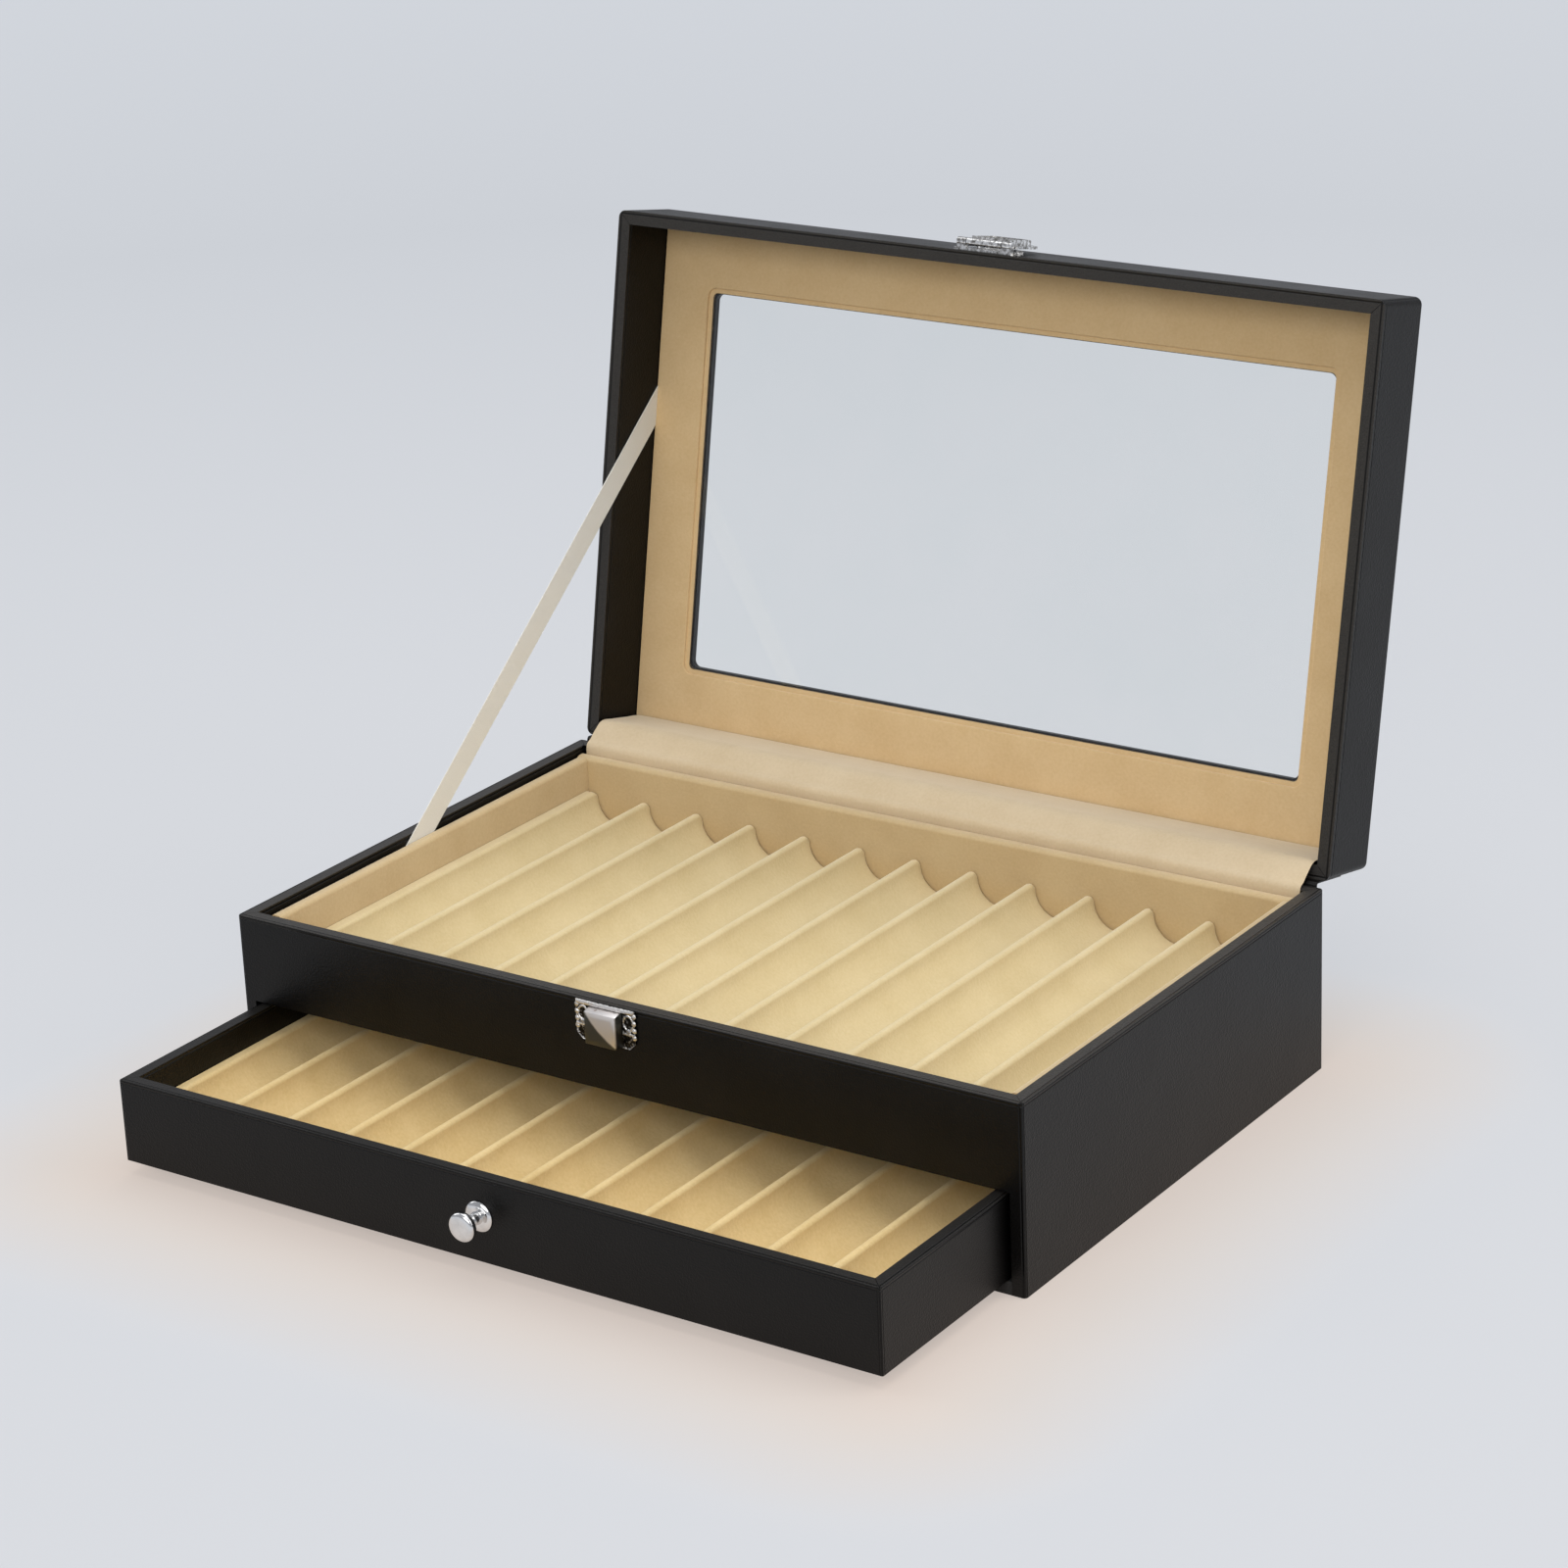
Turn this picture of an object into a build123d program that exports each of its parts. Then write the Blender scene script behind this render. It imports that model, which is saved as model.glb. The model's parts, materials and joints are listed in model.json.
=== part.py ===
from build123d import *
from math import cos, radians, sin, sqrt
import os

# Pen collector chest, all sizes in millimetres.
# X runs left to right, Y from the front (-) to the back (+), Z up from the surface it stands on.
# The origin is the middle of the underside.  The chest is drawn as it is displayed:
# the lid stands open against its ribbon, the drawer is pulled part of the way out and
# the hasp is folded back on the lid.

# ---------------------------------------------------------------- driving sizes: case
WIDTH = 340.0              # outside width of case and lid
DEPTH = 214.0              # outside depth of case and lid
CASE_HEIGHT = 72.0         # underside to the rim of the case
LID_HEIGHT = 31.5          # rim to top of the lid
WALL = 5.4                 # a wrapped wall: board with its covering on both faces
COVERING = 0.8             # black leathercloth
CORNER_ROUND = 1.4         # rounding of the wrapped outside edges
BOTTOM_THICK = 5.0
DECK_THICK = 3.0           # shelf between the upper compartment and the drawer tunnel
TUNNEL_TOP = 38.2          # underside of the front rail and of the deck
RIM_ROUND = 0.7            # rounding of thin wrapped edges, less than the covering
RIM_GAP = 0.4              # air between the two rims when the lid is shut

# ---------------------------------------------------------------- driving sizes: lining
LINER_DROP = 2.8           # liner top below the case rim
LINER_THICK = 5.2          # velvet-wrapped card
LINER_GAP = 0.8            # slit behind the liners, for ribbon and hinge lining
LINER_ROUND = 1.6
FIT = 0.3                  # clearance round trays, glass and other loose inserts

# ---------------------------------------------------------------- driving sizes: pen trays
SLOT_PITCH = 25.9          # pens lie side by side, as many as the tray is wide enough for
SLOT_DEPTH = 12.3
CREST_WIDTH = 3.2          # velvet ridge between two pens
CREST_ROUND = 1.4
UPPER_FLOOR = 2.3          # tray material under a slot
DRAWER_FLOOR = 5.9

# ---------------------------------------------------------------- driving sizes: drawer
DRAWER_HEIGHT = 32.0
DRAWER_LENGTH = 206.0
DRAWER_WALL = 5.0
DRAWER_SIDE_GAP = 1.5      # running gap at each side
DRAWER_LIFT = 0.3          # running gap under the drawer
DRAWER_BOTTOM = 2.5
DRAWER_OUT = 77.2          # how far it is pulled out on display
KNOB_RISE = 17.3           # knob axis above the drawer's underside
ROSETTE_RADIUS = 5.8
ROSETTE_THICK = 1.6
ROSETTE_CROWN = 4.2        # radius of its flat middle
KNOB_RADIUS = 5.4
KNOB_REACH = 11.0          # drawer face to the front of the knob
KNOB_NECK = 2.3
KNOB_FLARE = 6.6           # rosette to where the head reaches its edge
KNOB_RIM = 1.8             # thickness of the knob's edge
KNOB_FACE = 4.2            # radius of its flat front
SCREW_FIT = 0.1
THREAD_LENGTH = 5.0        # screw inside the knob
SCREW_RADIUS = 1.45
SCREW_HEAD_RADIUS = 3.2
SCREW_HEAD_THICK = 1.9

# ---------------------------------------------------------------- driving sizes: lid
LID_ANGLE = 101.2          # opening angle, shut to open
HINGE_BACK = 2.3          # hinge axis behind the back face
HINGE_DROP = 1.0           # hinge axis below the case rim
TOP_THICK = 2.6            # wrapped top frame round the window
TOP_ROUND = 3.0            # rounding of the top's upright corners
GLASS_THICK = 1.2
MAT_THICK = 1.4            # velvet-wrapped card frame under the glass
WINDOW_WIDTH = 279.4
WINDOW_DEPTH = 153.0
WINDOW_SHIFT = 0.8         # window centre behind the middle of the lid
WINDOW_ROUND = 3.0
MAT_BEVEL = 2.2            # sloped edge of the mat

# ---------------------------------------------------------------- driving sizes: soft hinge and stay
SPINE_THICK = 0.8          # leathercloth hinge on the back
SPINE_LEG = 16.0           # glued length on the case and on the lid
SPINE_BEND = 1.6
LINING_THICK = 0.6         # velvet that covers the hinge inside
LINING_LEG = 14.0          # length tucked behind the back liner
LINING_BEND = 2.2
LINING_RISE = 0.9          # lining straight up out of its slit, above the rim
LINING_SET = 0.6           # its fold stands clear of the lid's rim by this much
LINING_AIR = 0.05
RIBBON_WIDTH = 10.5
RIBBON_THICK = 0.4
RIBBON_FOOT = 5.0          # ribbon's middle at the case rim, in front of the case's mid depth
RIBBON_HEAD = 27.5         # ribbon's middle on the mat, in front of the lid's mid depth
RIBBON_TUCK = 12.0         # length hidden behind the liner

# ---------------------------------------------------------------- driving sizes: catch and hasp
CATCH_WIDTH = 26.8
CATCH_HEIGHT = 15.0
CATCH_THICK = 0.8
CATCH_DROP = 0.3           # plate top below the case rim
CATCH_LEDGE = 1.8          # plate above the block
CATCH_CHAMFER = 2.4
BEAD_RADIUS = 1.25         # scallops on the plates' edges
BEAD_COUNT = 5
BEAD_SIDES = 8
BLOCK_WIDTH = 14.2
BLOCK_HEIGHT = 13.4
BLOCK_PROUD = 3.8
BLOCK_DRAFT = 0.5          # the face is smaller than the foot by this much a side
PRONG_DEPTH = 2.4
PRONG_SLOT = 1.6
NAIL_SIDE = 0.9             # square shank
CATCH_NAIL_X = 9.9
CATCH_NAIL_DROP = 8.2
HASP_NAIL_X = 7.6
HASP_NAIL_RISE = 8.5
NAIL_HEAD_RADIUS = 1.15
NAIL_HEAD_THICK = 0.5
NAIL_HEAD_TAPER = 40        # slope of the head's sides, in degrees
NAIL_LENGTH = 4.5
NAIL_FIT = 0.05
HASP_PIN_RISE = 2.6        # pin axis above the lid rim
HASP_PIN_PROUD = 3.4       # pin axis in front of the lid's face
PIN_RADIUS = 0.7
PIN_LENGTH = 24.0
KNUCKLE_RADIUS = 1.5
KNUCKLE_LENGTH = 4.0
KNUCKLE_GAP = 0.3
KNUCKLE_AIR = 0.4
PIN_FIT = 0.15
HASP_PLATE_THICK = 1.0
HASP_PLATE_WIDTH = 27.0
HASP_PLATE_HEIGHT = 19.0
FLAP_THICK = 1.0
FLAP_WIDTH = 26.0
FLAP_LENGTH = 23.0
FLAP_WINDOW_GAP = 0.5      # play between the flap's window and the block
FLAP_COLLAR_THICK = 0.8
FLAP_COLLAR_GAP = 0.5      # collar's end to the catch plate, when shut
FLAP_FOLD = 181.5          # how far the flap is folded back from hanging shut

# ---------------------------------------------------------------- places worked out from them
HALF_W = WIDTH / 2
HALF_D = DEPTH / 2
FRONT = -HALF_D
BACK = HALF_D
IN_X = HALF_W - WALL                    # inner faces of the wrapped walls
IN_Y = HALF_D - WALL
DECK_TOP = TUNNEL_TOP + DECK_THICK
LINER_TOP = CASE_HEIGHT - LINER_DROP
LINER_X = IN_X - LINER_GAP - LINER_THICK    # inner faces of the liners
LINER_Y = IN_Y - LINER_GAP - LINER_THICK
TRAY_X = LINER_X - FIT
TRAY_Y = LINER_Y - FIT

LID_RIM = CASE_HEIGHT + RIM_GAP
LID_TOP = LID_RIM + LID_HEIGHT
TOP_UNDER = LID_TOP - TOP_THICK
GLASS_UNDER = TOP_UNDER - GLASS_THICK
MAT_UNDER = GLASS_UNDER - MAT_THICK
HINGE_Y = BACK + HINGE_BACK
HINGE_Z = CASE_HEIGHT - HINGE_DROP
LID_HINGE = Axis((0, HINGE_Y, HINGE_Z), (1, 0, 0))

DRAWER_X = IN_X - DRAWER_SIDE_GAP
DRAWER_LOW = BOTTOM_THICK + DRAWER_LIFT
DRAWER_TOP = DRAWER_LOW + DRAWER_HEIGHT
DRAWER_FRONT = FRONT                    # flush with the case when it is shut
DRAWER_BACK = DRAWER_FRONT + DRAWER_LENGTH
DRAWER_IN_X = DRAWER_X - DRAWER_WALL
DRAWER_DECK = DRAWER_LOW + DRAWER_BOTTOM
KNOB_Z = DRAWER_LOW + KNOB_RISE

PIN_Y = FRONT - HASP_PIN_PROUD
PIN_Z = LID_RIM + HASP_PIN_RISE
HASP_PIVOT = Axis((0, PIN_Y, PIN_Z), (1, 0, 0))
CATCH_TOP = CASE_HEIGHT - CATCH_DROP
CATCH_FACE = FRONT - CATCH_THICK
BLOCK_TOP = CATCH_TOP - CATCH_LEDGE
BLOCK_FACE = CATCH_FACE - BLOCK_PROUD


# ---------------------------------------------------------------- helpers
def block(x0, x1, y0, y1, z0, z1):
    """A box between two opposite corners."""
    middle = Pos((x0 + x1) / 2, (y0 + y1) / 2, (z0 + z1) / 2)
    return middle * Box(x1 - x0, y1 - y0, z1 - z0)


def frame(half_x, half_y, wall, z0, z1):
    """Four walls of one thickness, open above and below."""
    outside = block(-half_x, half_x, -half_y, half_y, z0, z1)
    inside = block(wall - half_x, half_x - wall, wall - half_y, half_y - wall, z0 - 1, z1 + 1)
    return outside - inside


def opened(piece):
    """A lid piece, drawn shut, swung up to the display angle."""
    return piece.rotate(LID_HINGE, -LID_ANGLE)


def pulled(piece):
    """A drawer piece, drawn shut, slid out to the display place."""
    return Pos(0, -DRAWER_OUT, 0) * piece


def along_x(face_on_yz, half_length):
    """A profile drawn in the YZ plane, made into a piece that is centred on X = 0."""
    return extrude(face_on_yz, amount=half_length, both=True)


def ribbon_path(points, radii, thickness):
    """A thin strip's section: the line through the points, given a thickness."""
    line = FilletPolyline(*points, radius=radii)
    return trace(line, line_width=thickness)


def nailed(piece, places):
    """A piece with the holes of small nails that are driven in from the front."""
    for x, z in places:
        side = NAIL_SIDE + 2 * NAIL_FIT
        hole = Box(side, 2 * (NAIL_LENGTH + NAIL_FIT), side)
        piece -= Pos(x, FRONT - NAIL_HEAD_THICK, z) * hole
    return piece


def catch_nail_places():
    return [(side * CATCH_NAIL_X, CATCH_TOP - CATCH_NAIL_DROP) for side in (-1, 1)]


def hasp_nail_places():
    return [(side * HASP_NAIL_X, PIN_Z + HASP_NAIL_RISE) for side in (-1, 1)]


pieces = {}


def keep(name, piece):
    pieces[name] = piece


# ---------------------------------------------------------------- case: boards and covering
def case_boards():
    """Four boards butted at the corners, each one covering thinner all round than its wall."""
    side = block(-HALF_W + COVERING, -IN_X - COVERING, FRONT + COVERING, BACK - COVERING,
                 0, CASE_HEIGHT - COVERING)
    between = IN_X + COVERING
    back = block(-between, between, IN_Y + COVERING, BACK - COVERING, 0, CASE_HEIGHT - COVERING)
    rail = block(-between, between, FRONT + COVERING, -IN_Y - COVERING,
                 TUNNEL_TOP + COVERING, CASE_HEIGHT - COVERING)
    rail = nailed(rail, catch_nail_places())
    keep("case_left_wall", side)
    keep("case_right_wall", side.mirror(Plane.YZ))
    keep("case_back_wall", back)
    keep("case_front_rail", rail)
    return [side, side.mirror(Plane.YZ), back, rail]


def case_cover(boards):
    """The leathercloth: the whole wrapped wall less the boards inside it."""
    walls = frame(HALF_W, HALF_D, WALL, 0, CASE_HEIGHT)
    walls -= block(-IN_X, IN_X, FRONT - 1, -IN_Y + 1, -1, TUNNEL_TOP)
    corners = walls.edges().filter_by(Axis.Z).filter_by(
        lambda e: abs(abs(e.center().X) - HALF_W) < 0.01)
    walls = fillet(corners, CORNER_ROUND)
    rim = walls.faces().sort_by(Axis.Z)[-1].outer_wire().edges()
    walls = fillet(rim, RIM_ROUND)
    for board in boards:
        walls -= board
    keep("case_covering", nailed(walls, catch_nail_places()))


def case_floors():
    keep("case_bottom_panel", block(-IN_X, IN_X, FRONT, IN_Y, 0, BOTTOM_THICK))
    keep("tray_deck", block(-IN_X, IN_X, -IN_Y, IN_Y, TUNNEL_TOP, DECK_TOP))


def liners():
    """Velvet-wrapped cards round the upper compartment, rounded along their tops."""
    long_half = IN_X - LINER_GAP
    outer_y = IN_Y - LINER_GAP

    def card(x0, x1, y0, y1, direction):
        body = block(x0, x1, y0, y1, DECK_TOP, LINER_TOP)
        crown = body.faces().sort_by(Axis.Z)[-1].edges().filter_by(direction)
        return fillet(crown, LINER_ROUND)

    front = card(-long_half, long_half, -outer_y, -LINER_Y, Axis.X)
    side = card(-long_half, -LINER_X, -LINER_Y, LINER_Y, Axis.Y)
    keep("liner_front", front)
    keep("liner_back", front.mirror(Plane.XZ))
    keep("liner_left", side)
    keep("liner_right", side.mirror(Plane.YZ))


# ---------------------------------------------------------------- pen trays
def pen_tray(half_width, y0, y1, low, floor):
    """A velvet-flocked moulding: round-bottomed slots with rounded crests between them."""
    crest = low + floor + SLOT_DEPTH
    half_slot = (SLOT_PITCH - CREST_WIDTH) / 2
    rise = (half_slot ** 2 - SLOT_DEPTH ** 2) / (2 * SLOT_DEPTH)
    section = Pos(0, (low + crest) / 2) * Rectangle(2 * half_width, crest - low)
    slots = int(2 * half_width // SLOT_PITCH)
    for i in range(slots):
        middle = (i - (slots - 1) / 2) * SLOT_PITCH
        section -= Pos(middle, crest + rise) * Circle(SLOT_DEPTH + rise)
    crests = section.vertices().filter_by(
        lambda v: abs(v.Y - crest) < 0.01 and abs(v.X) < half_width - 0.01)
    section = fillet(crests, CREST_ROUND)
    return extrude(Plane.XZ.offset(-y1) * section, amount=y1 - y0)


# ---------------------------------------------------------------- drawer
def drawer_boards():
    low = DRAWER_LOW
    high = DRAWER_TOP - COVERING
    inner = DRAWER_IN_X + COVERING
    front_face = DRAWER_FRONT + DRAWER_WALL
    back_face = DRAWER_BACK - DRAWER_WALL
    side = block(-DRAWER_X + COVERING, -inner, DRAWER_FRONT + COVERING, DRAWER_BACK - COVERING,
                 low, high)
    front = block(-inner, inner, DRAWER_FRONT + COVERING, front_face - COVERING, low, high)
    back = block(-inner, inner, back_face + COVERING, DRAWER_BACK - COVERING, low, high)
    boards = {"drawer_left_side": side, "drawer_right_side": side.mirror(Plane.YZ),
              "drawer_front": front, "drawer_back": back}
    return boards


def drawer_shell():
    """The wrapped drawer as one body, before its boards are taken out of it."""
    middle = (DRAWER_FRONT + DRAWER_BACK) / 2
    walls = Pos(0, middle, 0) * frame(DRAWER_X, DRAWER_LENGTH / 2, DRAWER_WALL,
                                      DRAWER_LOW, DRAWER_TOP)
    corners = walls.edges().filter_by(Axis.Z).filter_by(
        lambda e: abs(abs(e.center().X) - DRAWER_X) < 0.01)
    walls = fillet(corners, RIM_ROUND)
    rim = walls.faces().sort_by(Axis.Z)[-1].outer_wire().edges()
    return fillet(rim, RIM_ROUND)


def knob_bore():
    """The screw's way through the drawer front, countersunk from inside."""
    inside = DRAWER_FRONT + DRAWER_WALL
    shank = Cylinder(SCREW_RADIUS + SCREW_FIT, DRAWER_WALL + 2, rotation=(90, 0, 0))
    cone = Cone(SCREW_HEAD_RADIUS + SCREW_FIT, SCREW_RADIUS + SCREW_FIT, SCREW_HEAD_THICK,
                rotation=(90, 0, 0))
    bore = Pos(0, DRAWER_FRONT + DRAWER_WALL / 2, KNOB_Z) * shank
    return bore + Pos(0, inside - SCREW_HEAD_THICK / 2, KNOB_Z) * cone


def drawer():
    boards = drawer_boards()
    bore = knob_bore()
    cover = drawer_shell()
    for board in boards.values():
        cover -= board
    boards["drawer_front"] -= bore
    for name, board in boards.items():
        keep(name, pulled(board))
    keep("drawer_covering", pulled(cover - bore))
    inner_front = DRAWER_FRONT + DRAWER_WALL
    inner_back = DRAWER_BACK - DRAWER_WALL
    keep("drawer_bottom", pulled(block(-DRAWER_IN_X, DRAWER_IN_X, inner_front, inner_back,
                                       DRAWER_LOW, DRAWER_DECK)))
    keep("drawer_pen_tray", pulled(pen_tray(DRAWER_IN_X - FIT, inner_front + FIT,
                                            inner_back - FIT, DRAWER_DECK, DRAWER_FLOOR)))


def knob():
    """A turned knob on its rosette, held by a countersunk screw."""
    seat = DRAWER_FRONT - ROSETTE_THICK
    reach = KNOB_REACH - ROSETTE_THICK
    eye = SCREW_RADIUS + SCREW_FIT
    with BuildSketch(Plane.YZ) as dish:
        with BuildLine():
            Polyline((0, eye), (0, ROSETTE_RADIUS), (-ROSETTE_THICK / 2, ROSETTE_RADIUS),
                     (-ROSETTE_THICK, ROSETTE_CROWN), (-ROSETTE_THICK, eye), close=True)
        make_face()
    rosette = revolve(dish.sketch, Axis.Y)
    edge = KNOB_FLARE + KNOB_RIM
    with BuildSketch(Plane.YZ) as turned:
        with BuildLine():
            Polyline((0, 0), (0, KNOB_NECK), (-KNOB_FLARE * 2 / 3, KNOB_NECK),
                     (-KNOB_FLARE, KNOB_RADIUS), (-edge, KNOB_RADIUS),
                     (-reach, KNOB_FACE), (-reach, 0), close=True)
        make_face()
    grip = revolve(turned.sketch, Axis.Y)
    grip -= Pos(0, -THREAD_LENGTH / 2, 0) * Cylinder(SCREW_RADIUS, THREAD_LENGTH,
                                                     rotation=(90, 0, 0))
    keep("knob_rosette", pulled(Pos(0, DRAWER_FRONT, KNOB_Z) * rosette))
    keep("knob", pulled(Pos(0, seat, KNOB_Z) * grip))
    inside = DRAWER_FRONT + DRAWER_WALL
    tip = seat - THREAD_LENGTH
    shank = Cylinder(SCREW_RADIUS, inside - tip, rotation=(90, 0, 0))
    cone = Cone(SCREW_HEAD_RADIUS, SCREW_RADIUS, SCREW_HEAD_THICK, rotation=(90, 0, 0))
    screw = Pos(0, (inside + tip) / 2, KNOB_Z) * shank
    screw += Pos(0, inside - SCREW_HEAD_THICK / 2, KNOB_Z) * cone
    slit = Box(1.6 * SCREW_HEAD_RADIUS, SCREW_HEAD_THICK / 2, SCREW_FIT * 6)
    keep("knob_screw", pulled(screw - Pos(0, inside, KNOB_Z) * slit))


# ---------------------------------------------------------------- lid
def window(half_extra, z0, z1):
    """The rounded opening in the lid's top, grown on every side by half_extra."""
    outline = RectangleRounded(WINDOW_WIDTH + 2 * half_extra, WINDOW_DEPTH + 2 * half_extra,
                               WINDOW_ROUND)
    return Pos(0, WINDOW_SHIFT, z0) * extrude(outline, amount=z1 - z0)


def lid_boards():
    side = block(-HALF_W + COVERING, -IN_X - COVERING, FRONT + COVERING, BACK - COVERING,
                 LID_RIM + COVERING, LID_TOP - COVERING)
    corner = side.edges().filter_by(Axis.Z).filter_by(lambda e: e.center().X < -IN_X - WALL / 2)
    side = fillet(corner, TOP_ROUND - COVERING)
    between = IN_X + COVERING
    back = block(-between, between, IN_Y + COVERING, BACK - COVERING,
                 LID_RIM + COVERING, LID_TOP - COVERING)
    deep = IN_Y + COVERING
    top = block(-between, between, -deep, deep, TOP_UNDER, LID_TOP - COVERING)
    top -= window(COVERING, TOP_UNDER - 1, LID_TOP)
    front = nailed(back.mirror(Plane.XZ), hasp_nail_places())
    return {"lid_left_wall": side, "lid_right_wall": side.mirror(Plane.YZ), "lid_back_wall": back,
            "lid_front_wall": front, "lid_top_frame": top}


def lid_cover(boards):
    """The lid's leathercloth, round walls, rim, top and window edge."""
    shell = block(-HALF_W, HALF_W, FRONT, BACK, LID_RIM, LID_TOP)
    shell = fillet(shell.edges().filter_by(Axis.Z), TOP_ROUND)
    shell = fillet(shell.faces().sort_by(Axis.Z)[-1].edges(), CORNER_ROUND)
    shell -= block(-IN_X, IN_X, -IN_Y, IN_Y, LID_RIM - 1, TOP_UNDER)
    shell -= window(0, TOP_UNDER - 1, LID_TOP + 1)
    for board in boards.values():
        shell -= board
    return nailed(shell, hasp_nail_places())


def lid_glazing():
    glass = block(-IN_X + FIT, IN_X - FIT, -IN_Y + FIT, IN_Y - FIT, GLASS_UNDER, TOP_UNDER)
    mat = block(-IN_X + FIT, IN_X - FIT, -IN_Y + FIT, IN_Y - FIT, MAT_UNDER, GLASS_UNDER)
    lower = Plane.XY.offset(MAT_UNDER) * Pos(0, WINDOW_SHIFT) * RectangleRounded(
        WINDOW_WIDTH + 2 * MAT_BEVEL, WINDOW_DEPTH + 2 * MAT_BEVEL, WINDOW_ROUND + MAT_BEVEL)
    upper = Plane.XY.offset(GLASS_UNDER) * Pos(0, WINDOW_SHIFT) * RectangleRounded(
        WINDOW_WIDTH, WINDOW_DEPTH, WINDOW_ROUND)
    mat -= loft([lower, upper])
    keep("glass_pane", opened(glass))
    keep("velvet_mat", opened(mat))


def lid():
    boards = lid_boards()
    cover = lid_cover(boards)
    for name, board in boards.items():
        keep(name, opened(board))
    keep("lid_covering", opened(cover))
    lid_glazing()


# ---------------------------------------------------------------- soft hinge and ribbon stay
def swung(y, z):
    """Where a point of the shut lid lies once the lid is open."""
    turn = radians(-LID_ANGLE)
    dy, dz = y - HINGE_Y, z - HINGE_Z
    return (HINGE_Y + dy * cos(turn) - dz * sin(turn), HINGE_Z + dy * sin(turn) + dz * cos(turn))


def meeting(a, b, y):
    """The height at which the line through a and b stands above y."""
    return a[1] + (b[1] - a[1]) * (y - a[0]) / (b[0] - a[0])


def hinge_spine():
    """Leathercloth glued to the backs of case and lid, folded where the lid turns."""
    skin = SPINE_THICK / 2
    near = swung(BACK + skin, LID_RIM)
    far = swung(BACK + skin, LID_RIM + SPINE_LEG)
    knee = (BACK + skin, meeting(near, far, BACK + skin))
    foot = (BACK + skin, CASE_HEIGHT - SPINE_LEG)
    section = ribbon_path([foot, knee, far], SPINE_BEND, SPINE_THICK)
    keep("hinge_spine", along_x(Plane.YZ * section, HALF_W - TOP_ROUND))


def hinge_lining():
    """Velvet from behind the back liner, over the rim, along the lid's back wall to the mat."""
    slit = BACK - WALL - LINER_GAP / 2
    skin = LINING_THICK / 2 + LINING_AIR
    foot = (slit, CASE_HEIGHT - LINING_LEG)
    rim = (slit, CASE_HEIGHT + LINING_RISE)
    corner = swung(IN_Y - skin - LINING_SET, LID_RIM - LINING_SET)
    end = swung(IN_Y - skin, MAT_UNDER - FIT)
    section = ribbon_path([foot, rim, corner, end], [LINING_BEND / 2, LINING_BEND], LINING_THICK)
    keep("hinge_lining", along_x(Plane.YZ * section, IN_X - LINER_GAP))


def ribbon_stay():
    """A taut ribbon beside the left wall, from behind the liner to the corner of the mat."""
    foot = (-RIBBON_FOOT, CASE_HEIGHT - LINER_DROP)
    head = swung(-RIBBON_HEAD, MAT_UNDER)
    run = sqrt((head[0] - foot[0]) ** 2 + (head[1] - foot[1]) ** 2)
    along = ((head[0] - foot[0]) / run, (head[1] - foot[1]) / run)
    across = (-along[1], along[0])
    half = RIBBON_WIDTH / 2
    over = RIBBON_WIDTH * 1.5
    low = (foot[0] - along[0] * RIBBON_TUCK, foot[1] - along[1] * RIBBON_TUCK)
    high = (head[0] + along[0] * over, head[1] + along[1] * over)
    corners = [(low[0] + across[0] * half, low[1] + across[1] * half),
               (high[0] + across[0] * half, high[1] + across[1] * half),
               (high[0] - across[0] * half, high[1] - across[1] * half),
               (low[0] - across[0] * half, low[1] - across[1] * half)]
    strip = Plane.YZ * make_face(Polyline(*corners, close=True))
    middle = -IN_X + LINER_GAP / 2
    strip = Pos(middle, 0, 0) * extrude(strip, amount=RIBBON_THICK / 2, both=True)
    below_mat = block(-IN_X, IN_X, -WIDTH, WIDTH, -WIDTH, MAT_UNDER)
    strip = strip & opened(below_mat)
    keep("ribbon_stay", strip)
    print("ribbon length", round(run + RIBBON_TUCK, 1))


# ---------------------------------------------------------------- catch and hasp
def nail(x, face, z):
    """A small square nail driven backwards into a board, its domed head on the plate."""
    shank = Pos(0, NAIL_LENGTH / 2, 0) * Box(NAIL_SIDE, NAIL_LENGTH, NAIL_SIDE)
    dome = upright_face(RegularPolygon(NAIL_HEAD_RADIUS, BEAD_SIDES), 0)
    dome = extrude(dome, amount=NAIL_HEAD_THICK, taper=NAIL_HEAD_TAPER)
    return Pos(x, face, z) * (shank + dome)


def upright_face(sketch, face):
    """A sketch in X and Z, set upright on the plane Y = face."""
    return Plane((0, face, 0), x_dir=(1, 0, 0), z_dir=(0, -1, 0)) * sketch


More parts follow.
